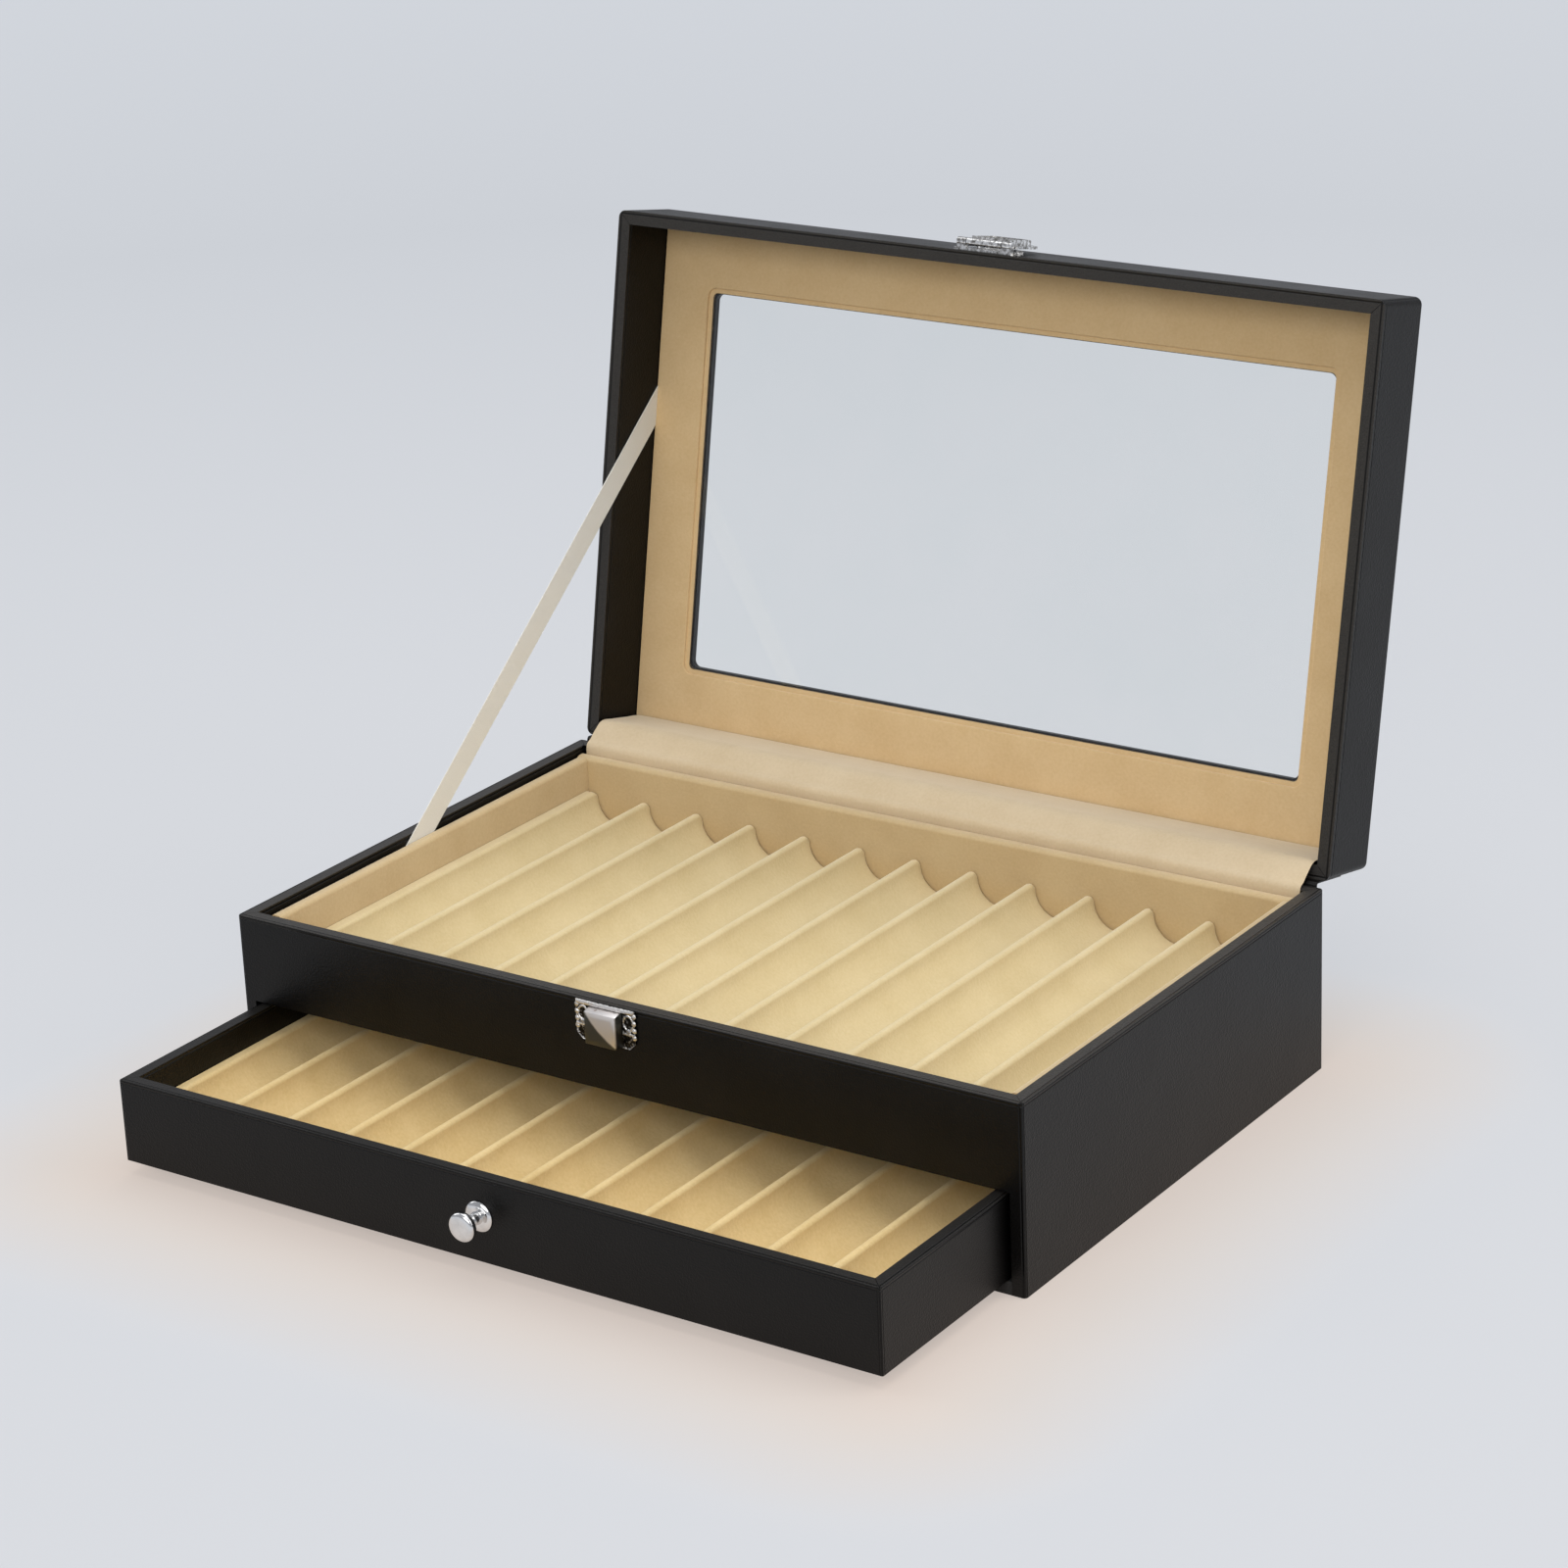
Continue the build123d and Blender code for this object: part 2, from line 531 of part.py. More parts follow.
def catch():
    """An embossed plate with beaded sides, and the block that the hasp drops over."""
    low = CATCH_TOP - CATCH_HEIGHT
    plate = Pos(0, (CATCH_TOP + low) / 2) * Rectangle(CATCH_WIDTH - BEAD_RADIUS, CATCH_HEIGHT)
    plate = chamfer(plate.vertices().group_by(Axis.Y)[0], CATCH_CHAMFER)
    step = (CATCH_HEIGHT - CATCH_CHAMFER - BEAD_RADIUS) / BEAD_COUNT
    for i in range(BEAD_COUNT):
        height = CATCH_TOP - BEAD_RADIUS - i * step
        for side in (-1, 1):
            bead = Pos(side * (CATCH_WIDTH / 2 - BEAD_RADIUS), height)
            plate += bead * RegularPolygon(BEAD_RADIUS, BEAD_SIDES)
    body = extrude(upright_face(plate, FRONT), amount=CATCH_THICK)
    places = catch_nail_places()
    keep("catch_plate", nailed(body, places))
    keep("catch_nails", Compound(children=[nail(x, CATCH_FACE, z) for x, z in places]))
    middle = BLOCK_TOP - BLOCK_HEIGHT / 2
    foot = upright_face(Pos(0, middle) * Rectangle(BLOCK_WIDTH, BLOCK_HEIGHT), CATCH_FACE)
    face = upright_face(Pos(0, middle) * Rectangle(BLOCK_WIDTH - 2 * BLOCK_DRAFT,
                                                   BLOCK_HEIGHT - 2 * BLOCK_DRAFT), BLOCK_FACE)
    lump = loft([foot, face])
    lump -= Pos(-BLOCK_WIDTH * 0.2, CATCH_FACE - BLOCK_PROUD * 0.45, BLOCK_TOP) * Cylinder(
        PRONG_SLOT / 2, PRONG_DEPTH)
    keep("catch_block", lump)


def knuckle(x0, x1, radius):
    return Pos((x0 + x1) / 2, PIN_Y, PIN_Z) * Cylinder(radius, x1 - x0, rotation=(0, 90, 0))


def hasp():
    """A beaded plate on the lid, a pin through its two knuckles, and the flap on the pin."""
    face = FRONT - HASP_PLATE_THICK
    foot = PIN_Z - KNUCKLE_RADIUS + KNUCKLE_AIR
    half = HASP_PLATE_WIDTH / 2
    plate = Pos(0, foot) * Ellipse(half - BEAD_RADIUS, HASP_PLATE_HEIGHT - BEAD_RADIUS)
    plate &= Pos(0, foot + HASP_PLATE_HEIGHT) * Rectangle(WIDTH, 2 * HASP_PLATE_HEIGHT)
    beads = 2 * BEAD_COUNT + 1
    for i in range(beads):
        turn = radians(180 * i / (beads - 1))
        bead = Pos((half - BEAD_RADIUS) * cos(turn),
                   foot + BEAD_RADIUS + (HASP_PLATE_HEIGHT - 2 * BEAD_RADIUS) * sin(turn))
        plate += bead * RegularPolygon(BEAD_RADIUS, BEAD_SIDES)
    body = extrude(upright_face(plate, FRONT), amount=HASP_PLATE_THICK)
    inner = PIN_LENGTH / 2 - KNUCKLE_LENGTH
    bore = knuckle(-WIDTH, WIDTH, PIN_RADIUS)
    for side in (-1, 1):
        ends = sorted((side * inner, side * PIN_LENGTH / 2))
        eye = knuckle(ends[0], ends[1], KNUCKLE_RADIUS)
        eye += block(ends[0], ends[1], PIN_Y, face, foot, PIN_Z + PIN_RADIUS)
        body += eye
    body -= bore
    places = hasp_nail_places()
    keep("hasp_plate", opened(nailed(body, places)))
    keep("hasp_nails", opened(Compound(children=[nail(x, face, z) for x, z in places])))
    keep("hasp_pin", opened(knuckle(-PIN_LENGTH / 2, PIN_LENGTH / 2, PIN_RADIUS - 0.02)))
    hasp_flap(inner - KNUCKLE_GAP)


def hasp_flap(eye_half):
    """The flap, drawn hanging shut over the block, then folded back on the plate."""
    low = PIN_Z - FLAP_LENGTH
    gap = FLAP_WINDOW_GAP
    leaf = Pos(0, (PIN_Z + low) / 2) * Rectangle(FLAP_WIDTH, FLAP_LENGTH)
    leaf = fillet(leaf.vertices().group_by(Axis.Y)[0], FLAP_WIDTH * 0.3)
    notch = Rectangle(FLAP_WIDTH - 2 * eye_half, 2 * (KNUCKLE_RADIUS + KNUCKLE_AIR))
    for side in (-1, 1):
        leaf -= Pos(side * FLAP_WIDTH / 2, PIN_Z) * notch
    middle = BLOCK_TOP - BLOCK_HEIGHT / 2
    opening = Pos(0, middle) * Rectangle(BLOCK_WIDTH + 2 * gap, BLOCK_HEIGHT + 2 * gap)
    collar = Pos(0, middle) * Rectangle(BLOCK_WIDTH + 2 * gap + 2 * FLAP_COLLAR_THICK,
                                        BLOCK_HEIGHT + 2 * gap + 2 * FLAP_COLLAR_THICK)
    flap = extrude(upright_face(leaf, PIN_Y), amount=FLAP_THICK)
    depth = CATCH_FACE - FLAP_COLLAR_GAP - PIN_Y
    ring = extrude(upright_face(collar, PIN_Y + depth), amount=depth)
    ring -= block(-WIDTH, WIDTH, FRONT * 2, 0, PIN_Z - KNUCKLE_RADIUS - KNUCKLE_AIR / 2, CASE_HEIGHT * 2)
    flap += ring
    flap += knuckle(-eye_half, eye_half, KNUCKLE_RADIUS)
    flap -= extrude(upright_face(opening, CATCH_FACE), amount=4 * BLOCK_PROUD)
    flap -= knuckle(-WIDTH, WIDTH, PIN_RADIUS + PIN_FIT)
    lip = knuckle(-FLAP_WIDTH * 0.2, FLAP_WIDTH * 0.2, FLAP_THICK)
    flap += Pos(0, -FLAP_THICK / 2, low - PIN_Z + FLAP_THICK) * lip
    folded = flap.rotate(HASP_PIVOT, -FLAP_FOLD)
    keep("hasp_flap", opened(folded))


# ---------------------------------------------------------------- build and write
def build():
    case_cover(case_boards())
    case_floors()
    liners()
    keep("upper_pen_tray", pen_tray(TRAY_X, -TRAY_Y, TRAY_Y, DECK_TOP, UPPER_FLOOR))
    drawer()
    knob()
    lid()
    hinge_spine()
    hinge_lining()
    ribbon_stay()
    catch()
    hasp()


build()
os.makedirs("parts", exist_ok=True)
for name, piece in pieces.items():
    export_step(piece, "parts/" + name + ".step")
print(len(pieces), "pieces")
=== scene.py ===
# %% [markdown]
# # A glass-topped pen chest
# The chest is a box of covered board, its lid held open by a ribbon, with a drawer under it.
# Both hold velvet trays with a flute for each pen.
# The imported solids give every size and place, and these cells give them their finish.
# %% Load the solids
import json
import math
import bmesh
import bpy
from mathutils import Matrix, Vector


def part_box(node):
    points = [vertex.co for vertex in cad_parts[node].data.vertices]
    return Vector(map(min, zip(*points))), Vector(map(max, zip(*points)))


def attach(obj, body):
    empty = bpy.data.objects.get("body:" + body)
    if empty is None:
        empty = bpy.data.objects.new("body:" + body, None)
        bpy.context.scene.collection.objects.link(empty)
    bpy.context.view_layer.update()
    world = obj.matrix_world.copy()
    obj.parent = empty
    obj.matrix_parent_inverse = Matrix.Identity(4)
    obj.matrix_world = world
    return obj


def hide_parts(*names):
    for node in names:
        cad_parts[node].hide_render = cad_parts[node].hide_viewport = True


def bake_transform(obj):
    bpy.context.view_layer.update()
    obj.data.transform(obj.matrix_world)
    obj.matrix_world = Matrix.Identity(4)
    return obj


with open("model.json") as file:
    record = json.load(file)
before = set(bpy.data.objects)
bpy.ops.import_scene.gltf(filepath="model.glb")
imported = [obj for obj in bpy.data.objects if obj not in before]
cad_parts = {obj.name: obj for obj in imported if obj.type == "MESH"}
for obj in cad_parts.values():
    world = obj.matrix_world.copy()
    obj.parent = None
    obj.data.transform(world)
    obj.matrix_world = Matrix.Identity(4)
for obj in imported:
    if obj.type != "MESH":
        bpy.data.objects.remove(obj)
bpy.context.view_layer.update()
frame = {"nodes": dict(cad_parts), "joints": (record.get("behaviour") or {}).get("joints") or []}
nodes = frame["nodes"]

# %% [markdown]
# The chest is displayed with its lid open, so a lid piece is easiest to draw shut and flat,
# and is then swung up round the hinge. The hinge line comes from the record.
# %% The hinge line and the swing
MM = 0.001
hinge = next(j for j in frame["joints"] if j["name"] == "lid_hinge")
HINGE = Vector(hinge["pos_m"])
OPEN = math.radians(max(hinge["range_deg"]))
SWING = (Matrix.Translation(HINGE) @ Matrix.Rotation(-OPEN, 4, "X")
         @ Matrix.Translation(-HINGE))
print("the lid opens", round(math.degrees(OPEN), 1), "degrees")

# %% [markdown]
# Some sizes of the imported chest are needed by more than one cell: half the width and depth of
# case and lid, and the heights of their rims when shut. All are in millimetres.
# %% Shared sizes
HALF_WIDTH, HALF_DEPTH = 170.0, 107.0
CASE_RIM, LID_RIM = 72.0, 72.4

# %% [markdown]
# Every piece starts as a primitive at its size and place. Operators act on all that is selected,
# so each start clears the selection first.
# %% Helpers for starting and picking
def clear():
    if bpy.context.object and bpy.context.object.mode != "OBJECT":
        bpy.ops.object.mode_set(mode="OBJECT")
    bpy.ops.object.select_all(action="DESELECT")


def begin(name):
    """Names the new primitive and puts its place into its mesh."""
    piece = bpy.context.object
    piece.name = name
    piece.data.name = name
    bpy.ops.object.transform_apply(location=True, rotation=True, scale=True)
    return piece


def slab(name, low, high):
    """A block between two corners given in millimetres."""
    clear()
    low, high = Vector(low) * MM, Vector(high) * MM
    bpy.ops.mesh.primitive_cube_add(size=1, location=(low + high) / 2, scale=high - low)
    return begin(name)


def pick(kind, test):
    """In edit mode, selects the points, edges or faces that pass the test."""
    modes = ("points", "edges", "faces")
    bpy.context.tool_settings.mesh_select_mode = [kind == m for m in modes]
    bpy.ops.mesh.select_all(action="DESELECT")
    mesh = bmesh.from_edit_mesh(bpy.context.object.data)
    if kind == "points":
        for v in mesh.verts:
            v.select_set(test(v.co / MM))
    if kind == "edges":
        for e in mesh.edges:
            a, b = (v.co / MM for v in e.verts)
            e.select_set(test((a + b) / 2, (b - a).normalized()))
    if kind == "faces":
        for f in mesh.faces:
            f.select_set(test(f.calc_center_median() / MM, f.normal))
    bmesh.update_edit_mesh(bpy.context.object.data)


# %% [markdown]
# Once a piece has its form, modifiers are applied to it, its shading is smoothed, and a piece
# of the lid is swung open.
# %% Helpers for finishing
def edit():
    bpy.ops.object.mode_set(mode="EDIT")


def done():
    bpy.ops.object.mode_set(mode="OBJECT")


def only(piece):
    clear()
    piece.select_set(True)
    bpy.context.view_layer.objects.active = piece


def modify(piece, kind, **settings):
    """Adds a modifier, sets it and applies it."""
    only(piece)
    modifier = piece.modifiers.new(kind.lower(), kind)
    for name, value in settings.items():
        setattr(modifier, name, value)
    bpy.ops.object.modifier_apply(modifier=modifier.name)


def smooth(piece, angle=35):
    only(piece)
    bpy.ops.object.shade_smooth_by_angle(angle=math.radians(angle))


def swing(piece):
    """Swings a piece drawn on the shut lid up to where the lid stands open."""
    only(piece)
    piece.matrix_world = SWING @ piece.matrix_world
    bpy.ops.object.transform_apply(location=True, rotation=True, scale=True)


def swung(x, y, z):
    return SWING @ (Vector((x, y, z)) * MM) / MM


# %% [markdown]
# ## Materials
# A finish is a few nodes: a texture in Object coordinates, a ramp for its colours, and a bump.
# Values that are the same all over go straight onto the shader.
# %% A helper for node materials
class Finish:
    def __init__(self, name, **shader):
        self.material = bpy.data.materials.new(name)
        self.material.use_nodes = True
        self.tree = self.material.node_tree
        self.shader = self.tree.nodes["Principled BSDF"]
        for socket, value in shader.items():
            self.shader.inputs[socket.replace("_", " ")].default_value = value
        self.where = self.add("TexCoord").outputs["Object"]

    def add(self, kind, *links, **values):
        """A node of a kind, with links to its first inputs and its settings by name."""
        node = self.tree.nodes.new("ShaderNode" + kind)
        for key, value in values.items():
            socket = node.inputs.get(key.replace("_", " "))
            if socket is not None:
                socket.default_value = value
            else:
                setattr(node, key, value)
        for i, link in enumerate(links):
            if link is not None:
                self.tree.links.new(link, node.inputs[i])
        return node

    def link(self, output, socket):
        self.tree.links.new(output, self.shader.inputs[socket])

    def noise(self, scale, detail=2.0, where=None):
        return self.add("TexNoise", where or self.where, Scale=scale, Detail=detail).outputs["Fac"]

    def ramp(self, value, *stops):
        node = self.add("ValToRGB", value)
        band = node.color_ramp
        while len(band.elements) < len(stops):
            band.elements.new(0.5)
        for element, (place, colour) in zip(band.elements, stops):
            element.position = place
            element.color = (*colour, 1.0) if len(colour) == 3 else colour
        return node.outputs["Color"]

    def math(self, operation, a, b=0.0, c=0.0):
        node = self.tree.nodes.new("ShaderNodeMath")
        node.operation = operation
        for i, value in enumerate((a, b, c)):
            if hasattr(value, "is_output"):
                self.tree.links.new(value, node.inputs[i])
            else:
                node.inputs[i].default_value = value
        return node.outputs[0]

    def split(self, vector):
        """The three coordinates of a vector, in millimetres."""
        parts = self.add("SeparateXYZ", vector).outputs
        return [self.math("MULTIPLY", part, 1000.0) for part in parts]

    def mix(self, factor, first, second):
        """The first colour where the factor is 0, the second where it is 1."""
        node = self.add("Mix", factor, data_type="RGBA")
        for socket, value in ((node.inputs[6], first), (node.inputs[7], second)):
            if hasattr(value, "is_output"):
                self.tree.links.new(value, socket)
            else:
                socket.default_value = (*value, 1.0)
        return node.outputs[2]

    def bump(self, height, distance, before=None, strength=1.0):
        node = self.add("Bump", Strength=strength, Distance=distance)
        self.tree.links.new(height, node.inputs["Height"])
        if before is not None:
            self.tree.links.new(before, node.inputs["Normal"])
        return node.outputs["Normal"]


def grey(value, warm=1.0, cool=1.0):
    return (value * warm, value, value * cool)


# %% [markdown]
# ### Leathercloth
# Covered board has a thin, finely pebbled skin. Cells from a Voronoi texture give the pebbles,
# a noise breaks up their depth, and larger noise makes some places shinier than others. The skin
# is turned in over the rims, which leaves a fine line just inside each edge and a fold across
# each corner. They are lines in the coordinates of the shut box, so the lid's are turned back.
# The tops of the rims are painted lighter than the faces: a painted highlight where the light
# falls on them.
# %% Leathercloth
# The colour the rim tops are lightened towards: a painted highlight.
RIM_TOP_HIGHLIGHT = (0.075, 0.070, 0.064)
CREASE = (0.0004, 0.0004, 0.0004)


def leathercloth(name, turned_in=None, turn=None, shine=0.22):
    f = Finish(name, IOR=1.5, Specular_IOR_Level=shine)
    where = f.where
    pebble = f.add("TexVoronoi", where, Scale=1500.0, feature="SMOOTH_F1", Smoothness=0.6)
    fine = f.noise(3200.0, 3.0)
    broad = f.noise(38.0, 4.0)
    tone = f.ramp(broad, (0.30, grey(0.0014, 1.10, 0.92)), (0.72, grey(0.0036, 1.12, 0.92)))
    rough = f.math("MULTIPLY_ADD", broad, 0.12, 0.26)
    f.link(f.math("MULTIPLY_ADD", fine, 0.10, rough), "Roughness")
    soft = f.bump(broad, 0.0006, strength=0.2)
    grain = f.bump(pebble.outputs["Distance"], 0.00016, soft, 0.5)
    skin = f.bump(fine, 0.00006, grain, 0.4)
    if turned_in:
        place = f.where
        if turn is not None:
            place = f.add("Mapping", f.where, Location=turn.to_translation(),
                          Rotation=turn.to_euler()).outputs[0]
        lines, painted_highlight = turned_in(f, *f.split(place))
        # the rim tops get their painted highlight, broken up by the fine noise
        tone = f.mix(f.math("MULTIPLY", painted_highlight, fine), tone, RIM_TOP_HIGHLIGHT)
        tone = f.mix(lines, tone, CREASE)
        skin = f.bump(f.math("SUBTRACT", 1.0, lines), 0.0005, skin, 1.0)
    f.link(tone, "Base Color")
    f.link(skin, "Normal")
    return f


def fine_line(f, value, place, half=0.45):
    """1 where the value is at its place, falling to 0 at half the line's width from it."""
    away = f.math("ABSOLUTE", f.math("SUBTRACT", value, place))
    return f.math("MAXIMUM", f.math("MULTIPLY_ADD", away, -1.0 / half, 1.0), 0.0)


def rim_lines(half_x, half_y, middle_y, rim, below, inset, mitre_side, highlight_share=1.0):
    """Lines below a rim, inside its outer edge and across its corners, and the rim top's painted
    highlight.
    """
    def draw(f, x, y, z):
        ax = f.math("ABSOLUTE", x)
        ay = f.math("ABSOLUTE", f.math("SUBTRACT", y, middle_y))
        line = fine_line(f, z, rim + below)
        line = f.math("MAXIMUM", line, fine_line(f, ax, half_x - inset))
        line = f.math("MAXIMUM", line, fine_line(f, ay, half_y - inset))
        across = f.math("SUBTRACT", f.math("SUBTRACT", ax, ay), half_x - half_y)
        on_rim = f.math("COMPARE", z, rim + mitre_side, 0.5)
        fold = f.math("MULTIPLY", fine_line(f, across, 0.0, half=0.2), on_rim)
        on_top = f.math("COMPARE", z, rim, 0.3)
        return f.math("MAXIMUM", line, fold), f.math("MULTIPLY", on_top, highlight_share)
    return draw


DRAWER_X, DRAWER_Y, DRAWER_MIDDLE, DRAWER_RIM = 163.1, 103.0, -81.2, 37.3
case_lines = rim_lines(HALF_WIDTH, HALF_DEPTH, 0.0, CASE_RIM,
                       below=-1.3, inset=1.0, mitre_side=-0.4)
# the drawer's rim top gets a weaker painted highlight
drawer_lines = rim_lines(DRAWER_X, DRAWER_Y, DRAWER_MIDDLE, DRAWER_RIM,
                         below=-1.2, inset=0.9, mitre_side=-0.4, highlight_share=0.35)
lid_lines = rim_lines(HALF_WIDTH, HALF_DEPTH, 0.0, LID_RIM,
                      below=1.3, inset=1.2, mitre_side=0.4)
leather = leathercloth("leathercloth")
leather_case = leathercloth("leathercloth_case", case_lines)
leather_drawer = leathercloth("leathercloth_drawer", drawer_lines)
leather_lid = leathercloth("leathercloth_lid", lid_lines, turn=SWING.inverted(), shine=0.16)
print("leathercloth has", len(leather.tree.nodes), "nodes")

# %% [markdown]
# ### Velvet
# A short nap looks lighter where it is seen edge on, which the shader's sheen does. The colour
# drifts a little where the nap lies one way or the other.
# %% Velvet
def velvet(name, deep, pale, nap=900.0, sheen=0.55, tint=(1.0, 0.93, 0.80, 1.0)):
    f = Finish(name, Roughness=0.95, Sheen_Weight=sheen, Sheen_Roughness=0.45,
               Sheen_Tint=tint, Specular_IOR_Level=0.15)
    drift = f.noise(55.0, 5.0)
    tuft = f.noise(nap, 3.0)
    mixed = f.math("MULTIPLY_ADD", tuft, 0.45, f.math("MULTIPLY", drift, 0.55))
    f.link(f.ramp(mixed, (0.32, deep), (0.66, pale)), "Base Color")
    lie = f.bump(drift, 0.0003, strength=0.12)
    f.link(f.bump(tuft, 0.00022, lie, 0.55), "Normal")
    return f


velvet_tray = velvet("tray_velvet", (0.62, 0.505, 0.28), (0.69, 0.575, 0.345))
# The drawer's velvet is a warmer, more saturated copy of the tray velvet: painted shade, for the
# browner shade of the tray under the case.
velvet_drawer_painted_shade = velvet("drawer_velvet_painted_shade", (0.68, 0.50, 0.23), (0.78, 0.60, 0.31), sheen=0.35,
                       tint=(1.0, 0.88, 0.68, 1.0))
velvet_liner = velvet("liner_velvet", (0.53, 0.39, 0.21), (0.60, 0.46, 0.26))
velvet_lid = velvet("lid_velvet", (0.645, 0.455, 0.235), (0.715, 0.525, 0.29))
velvet_hinge = velvet("hinge_velvet", (0.60, 0.475, 0.305), (0.67, 0.545, 0.37))
print("velvet has", len(velvet_tray.tree.nodes), "nodes")

# %% [markdown]
# ### Metals
# Old nickel is dark in some places and bright in others, so its colour follows a slow noise. The
# hasp's noise is finer and stronger: painted glints for the sparkle of the hasp's edge, which show
# as patches where its face is seen. The turned knob is mirror bright, with only the faintest
# marks.
# %% Metals
def metal(name, dark, bright, rough, marks, depth, clouds=260.0):
    f = Finish(name, Metallic=1.0)
    cloud = f.noise(clouds, 5.0)
    mark = f.noise(marks, 4.0)
    f.link(f.ramp(cloud, (0.36, dark), (0.62, bright)), "Base Color")
    f.link(f.math("MULTIPLY_ADD", mark, 0.2, rough), "Roughness")
    f.link(f.bump(mark, depth, strength=0.5), "Normal")
    return f


nickel = metal("antique_nickel", grey(0.16, 1.1, 0.9), grey(0.62, 1.02, 0.95), 0.18, 1500.0,
               0.00008)
# The hasp's finish: its fine dark and bright noise is painted glints.
silver_painted_glints = metal("nickel_painted_glints", grey(0.22, 1.05, 0.92), grey(0.93), 0.14, 1500.0, 0.00006,
               clouds=700.0)
steel = metal("bright_steel", grey(0.45), grey(0.62), 0.20, 2000.0, 0.00004)
chrome = metal("knob_chrome", grey(0.66), grey(0.78), 0.02, 900.0, 0.000006)
print("a metal has", len(chrome.tree.nodes), "nodes")

# %% [markdown]
# ### Stamped nickel
# The catch's plate is stamped. Its hollows have gone dark and what stands out is rubbed bright,
# so its colour follows the depth, broken up by specks.
# %% Stamped nickel
WORN_BRIGHT = -108.78
stamped = Finish("stamped_nickel", Metallic=1.0)
speck = stamped.noise(1100.0, 5.0)
depth = stamped.split(stamped.where)[1]
hollow = stamped.math("MULTIPLY_ADD", speck, -1.3, stamped.math("SUBTRACT", depth, WORN_BRIGHT))
stamped.link(stamped.ramp(hollow, (0.30, (0.78, 0.76, 0.74)), (0.62, (0.020, 0.018, 0.014))),
             "Base Color")
stamped.link(stamped.math("MULTIPLY_ADD", speck, 0.3, 0.16), "Roughness")
stamped.link(stamped.bump(speck, 0.0004, strength=0.8), "Normal")

# %% [markdown]
# ### Polished nickel
# The catch's block is polished, and mirrors a light and a dark area with a curved edge between
# them. That edge is painted here, as a circle in the block's own coordinates, and so are its
# dark sides. It is a drawn reflection: it stays put when the view turns, as a real one would
# not. A plain mirror finish is the truer choice where the chest is used again.
# %% Polished nickel
EDGE_X, EDGE_Z, EDGE_RADIUS = 21.9, 87.6, 33.4
BLOCK_X = 7.1
polished = Finish("polished_nickel", Metallic=1.0)
x, _, z = polished.split(polished.where)
wide = polished.math("SUBTRACT", x, EDGE_X)
high = polished.math("SUBTRACT", z, EDGE_Z)
from_middle = polished.math("SQRT", polished.math("ADD", polished.math("MULTIPLY", wide, wide),
                                                  polished.math("MULTIPLY", high, high)))
beyond = polished.math("SUBTRACT", from_middle, EDGE_RADIUS)
beyond = polished.math("ADD", beyond, polished.math("MULTIPLY", polished.noise(500.0, 4.0), 0.5))
on_side = polished.math("COMPARE", polished.math("ABSOLUTE", x), BLOCK_X, 0.42)
dark = polished.math("MAXIMUM", beyond, on_side)
polished.link(polished.ramp(dark, (0.1, (0.86, 0.82, 0.80)), (0.9, (0.10, 0.10, 0.09))),
              "Base Color")
polished.link(polished.math("MULTIPLY_ADD", polished.noise(900.0, 4.0), 0.12, 0.30), "Roughness")

# %% [markdown]
# ### Glass, board and paper
# The pane is clear, with the faintest haze in its colour. The boards are pressed fibre, so their
# noise is drawn out along one axis. Black paper covers the bottom, the drawer's bottom and the
# shelf.
# %% Glass, board and paper
glass = Finish("window_glass", Roughness=0.02, Transmission_Weight=1.0, IOR=1.45,
               Specular_IOR_Level=0.5)
haze = glass.noise(30.0, 3.0)
glass.link(glass.ramp(haze, (0.3, (0.965, 0.985, 0.98)), (0.7, (0.985, 0.995, 0.99))),
           "Base Color")
board = Finish("fibreboard", Roughness=0.85)
drawn_out = board.add("Mapping", board.where, Scale=(0.25, 1.0, 1.0)).outputs[0]
fibre = board.noise(700.0, 6.0, drawn_out)
board.link(board.ramp(fibre, (0.3, (0.20, 0.13, 0.08)), (0.7, (0.34, 0.24, 0.15))), "Base Color")
board.link(board.bump(fibre, 0.0002, strength=0.5), "Normal")
panel = Finish("black_paper", Roughness=0.75)
pulp = panel.noise(1400.0, 5.0)
panel.link(panel.ramp(pulp, (0.3, grey(0.010)), (0.7, grey(0.020))), "Base Color")
panel.link(panel.bump(pulp, 0.0001, strength=0.5), "Normal")
print("glass, board and paper have", [len(f.tree.nodes) for f in (glass, board, panel)], "nodes")

# %% [markdown]
# ### Satin ribbon
# Satin is fine threads side by side, so the light runs along them: a wave texture across the
# ribbon gives the threads, and its shine is stretched by anisotropy.
# %% Ribbon
ribbon = Finish("satin_ribbon", Roughness=0.42, Sheen_Weight=0.3, Sheen_Roughness=0.35,
                Anisotropic=0.4, Specular_IOR_Level=0.5)
thread = ribbon.add("TexWave", ribbon.where, Scale=900.0, Distortion=1.5, Detail=2.0,
                    wave_type="BANDS", bands_direction="Z").outputs["Fac"]
ribbon.link(ribbon.ramp(thread, (0.2, (0.78, 0.765, 0.70)), (0.8, (0.91, 0.90, 0.85))),
            "Base Color")
ribbon.link(ribbon.bump(thread, 0.00008, strength=0.5), "Normal")

# %% [markdown]
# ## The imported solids
# The solids come bare. Most are seen just as they were packed, so each gets the finish of what
# it is made of. Those that a drawn piece replaces later get theirs too, in case it is left out.
# %% Dress the solids
def dress(finish, *names):
    for name in names:
        mesh = nodes[name].data
        mesh.materials.clear()
        mesh.materials.append(finish.material)


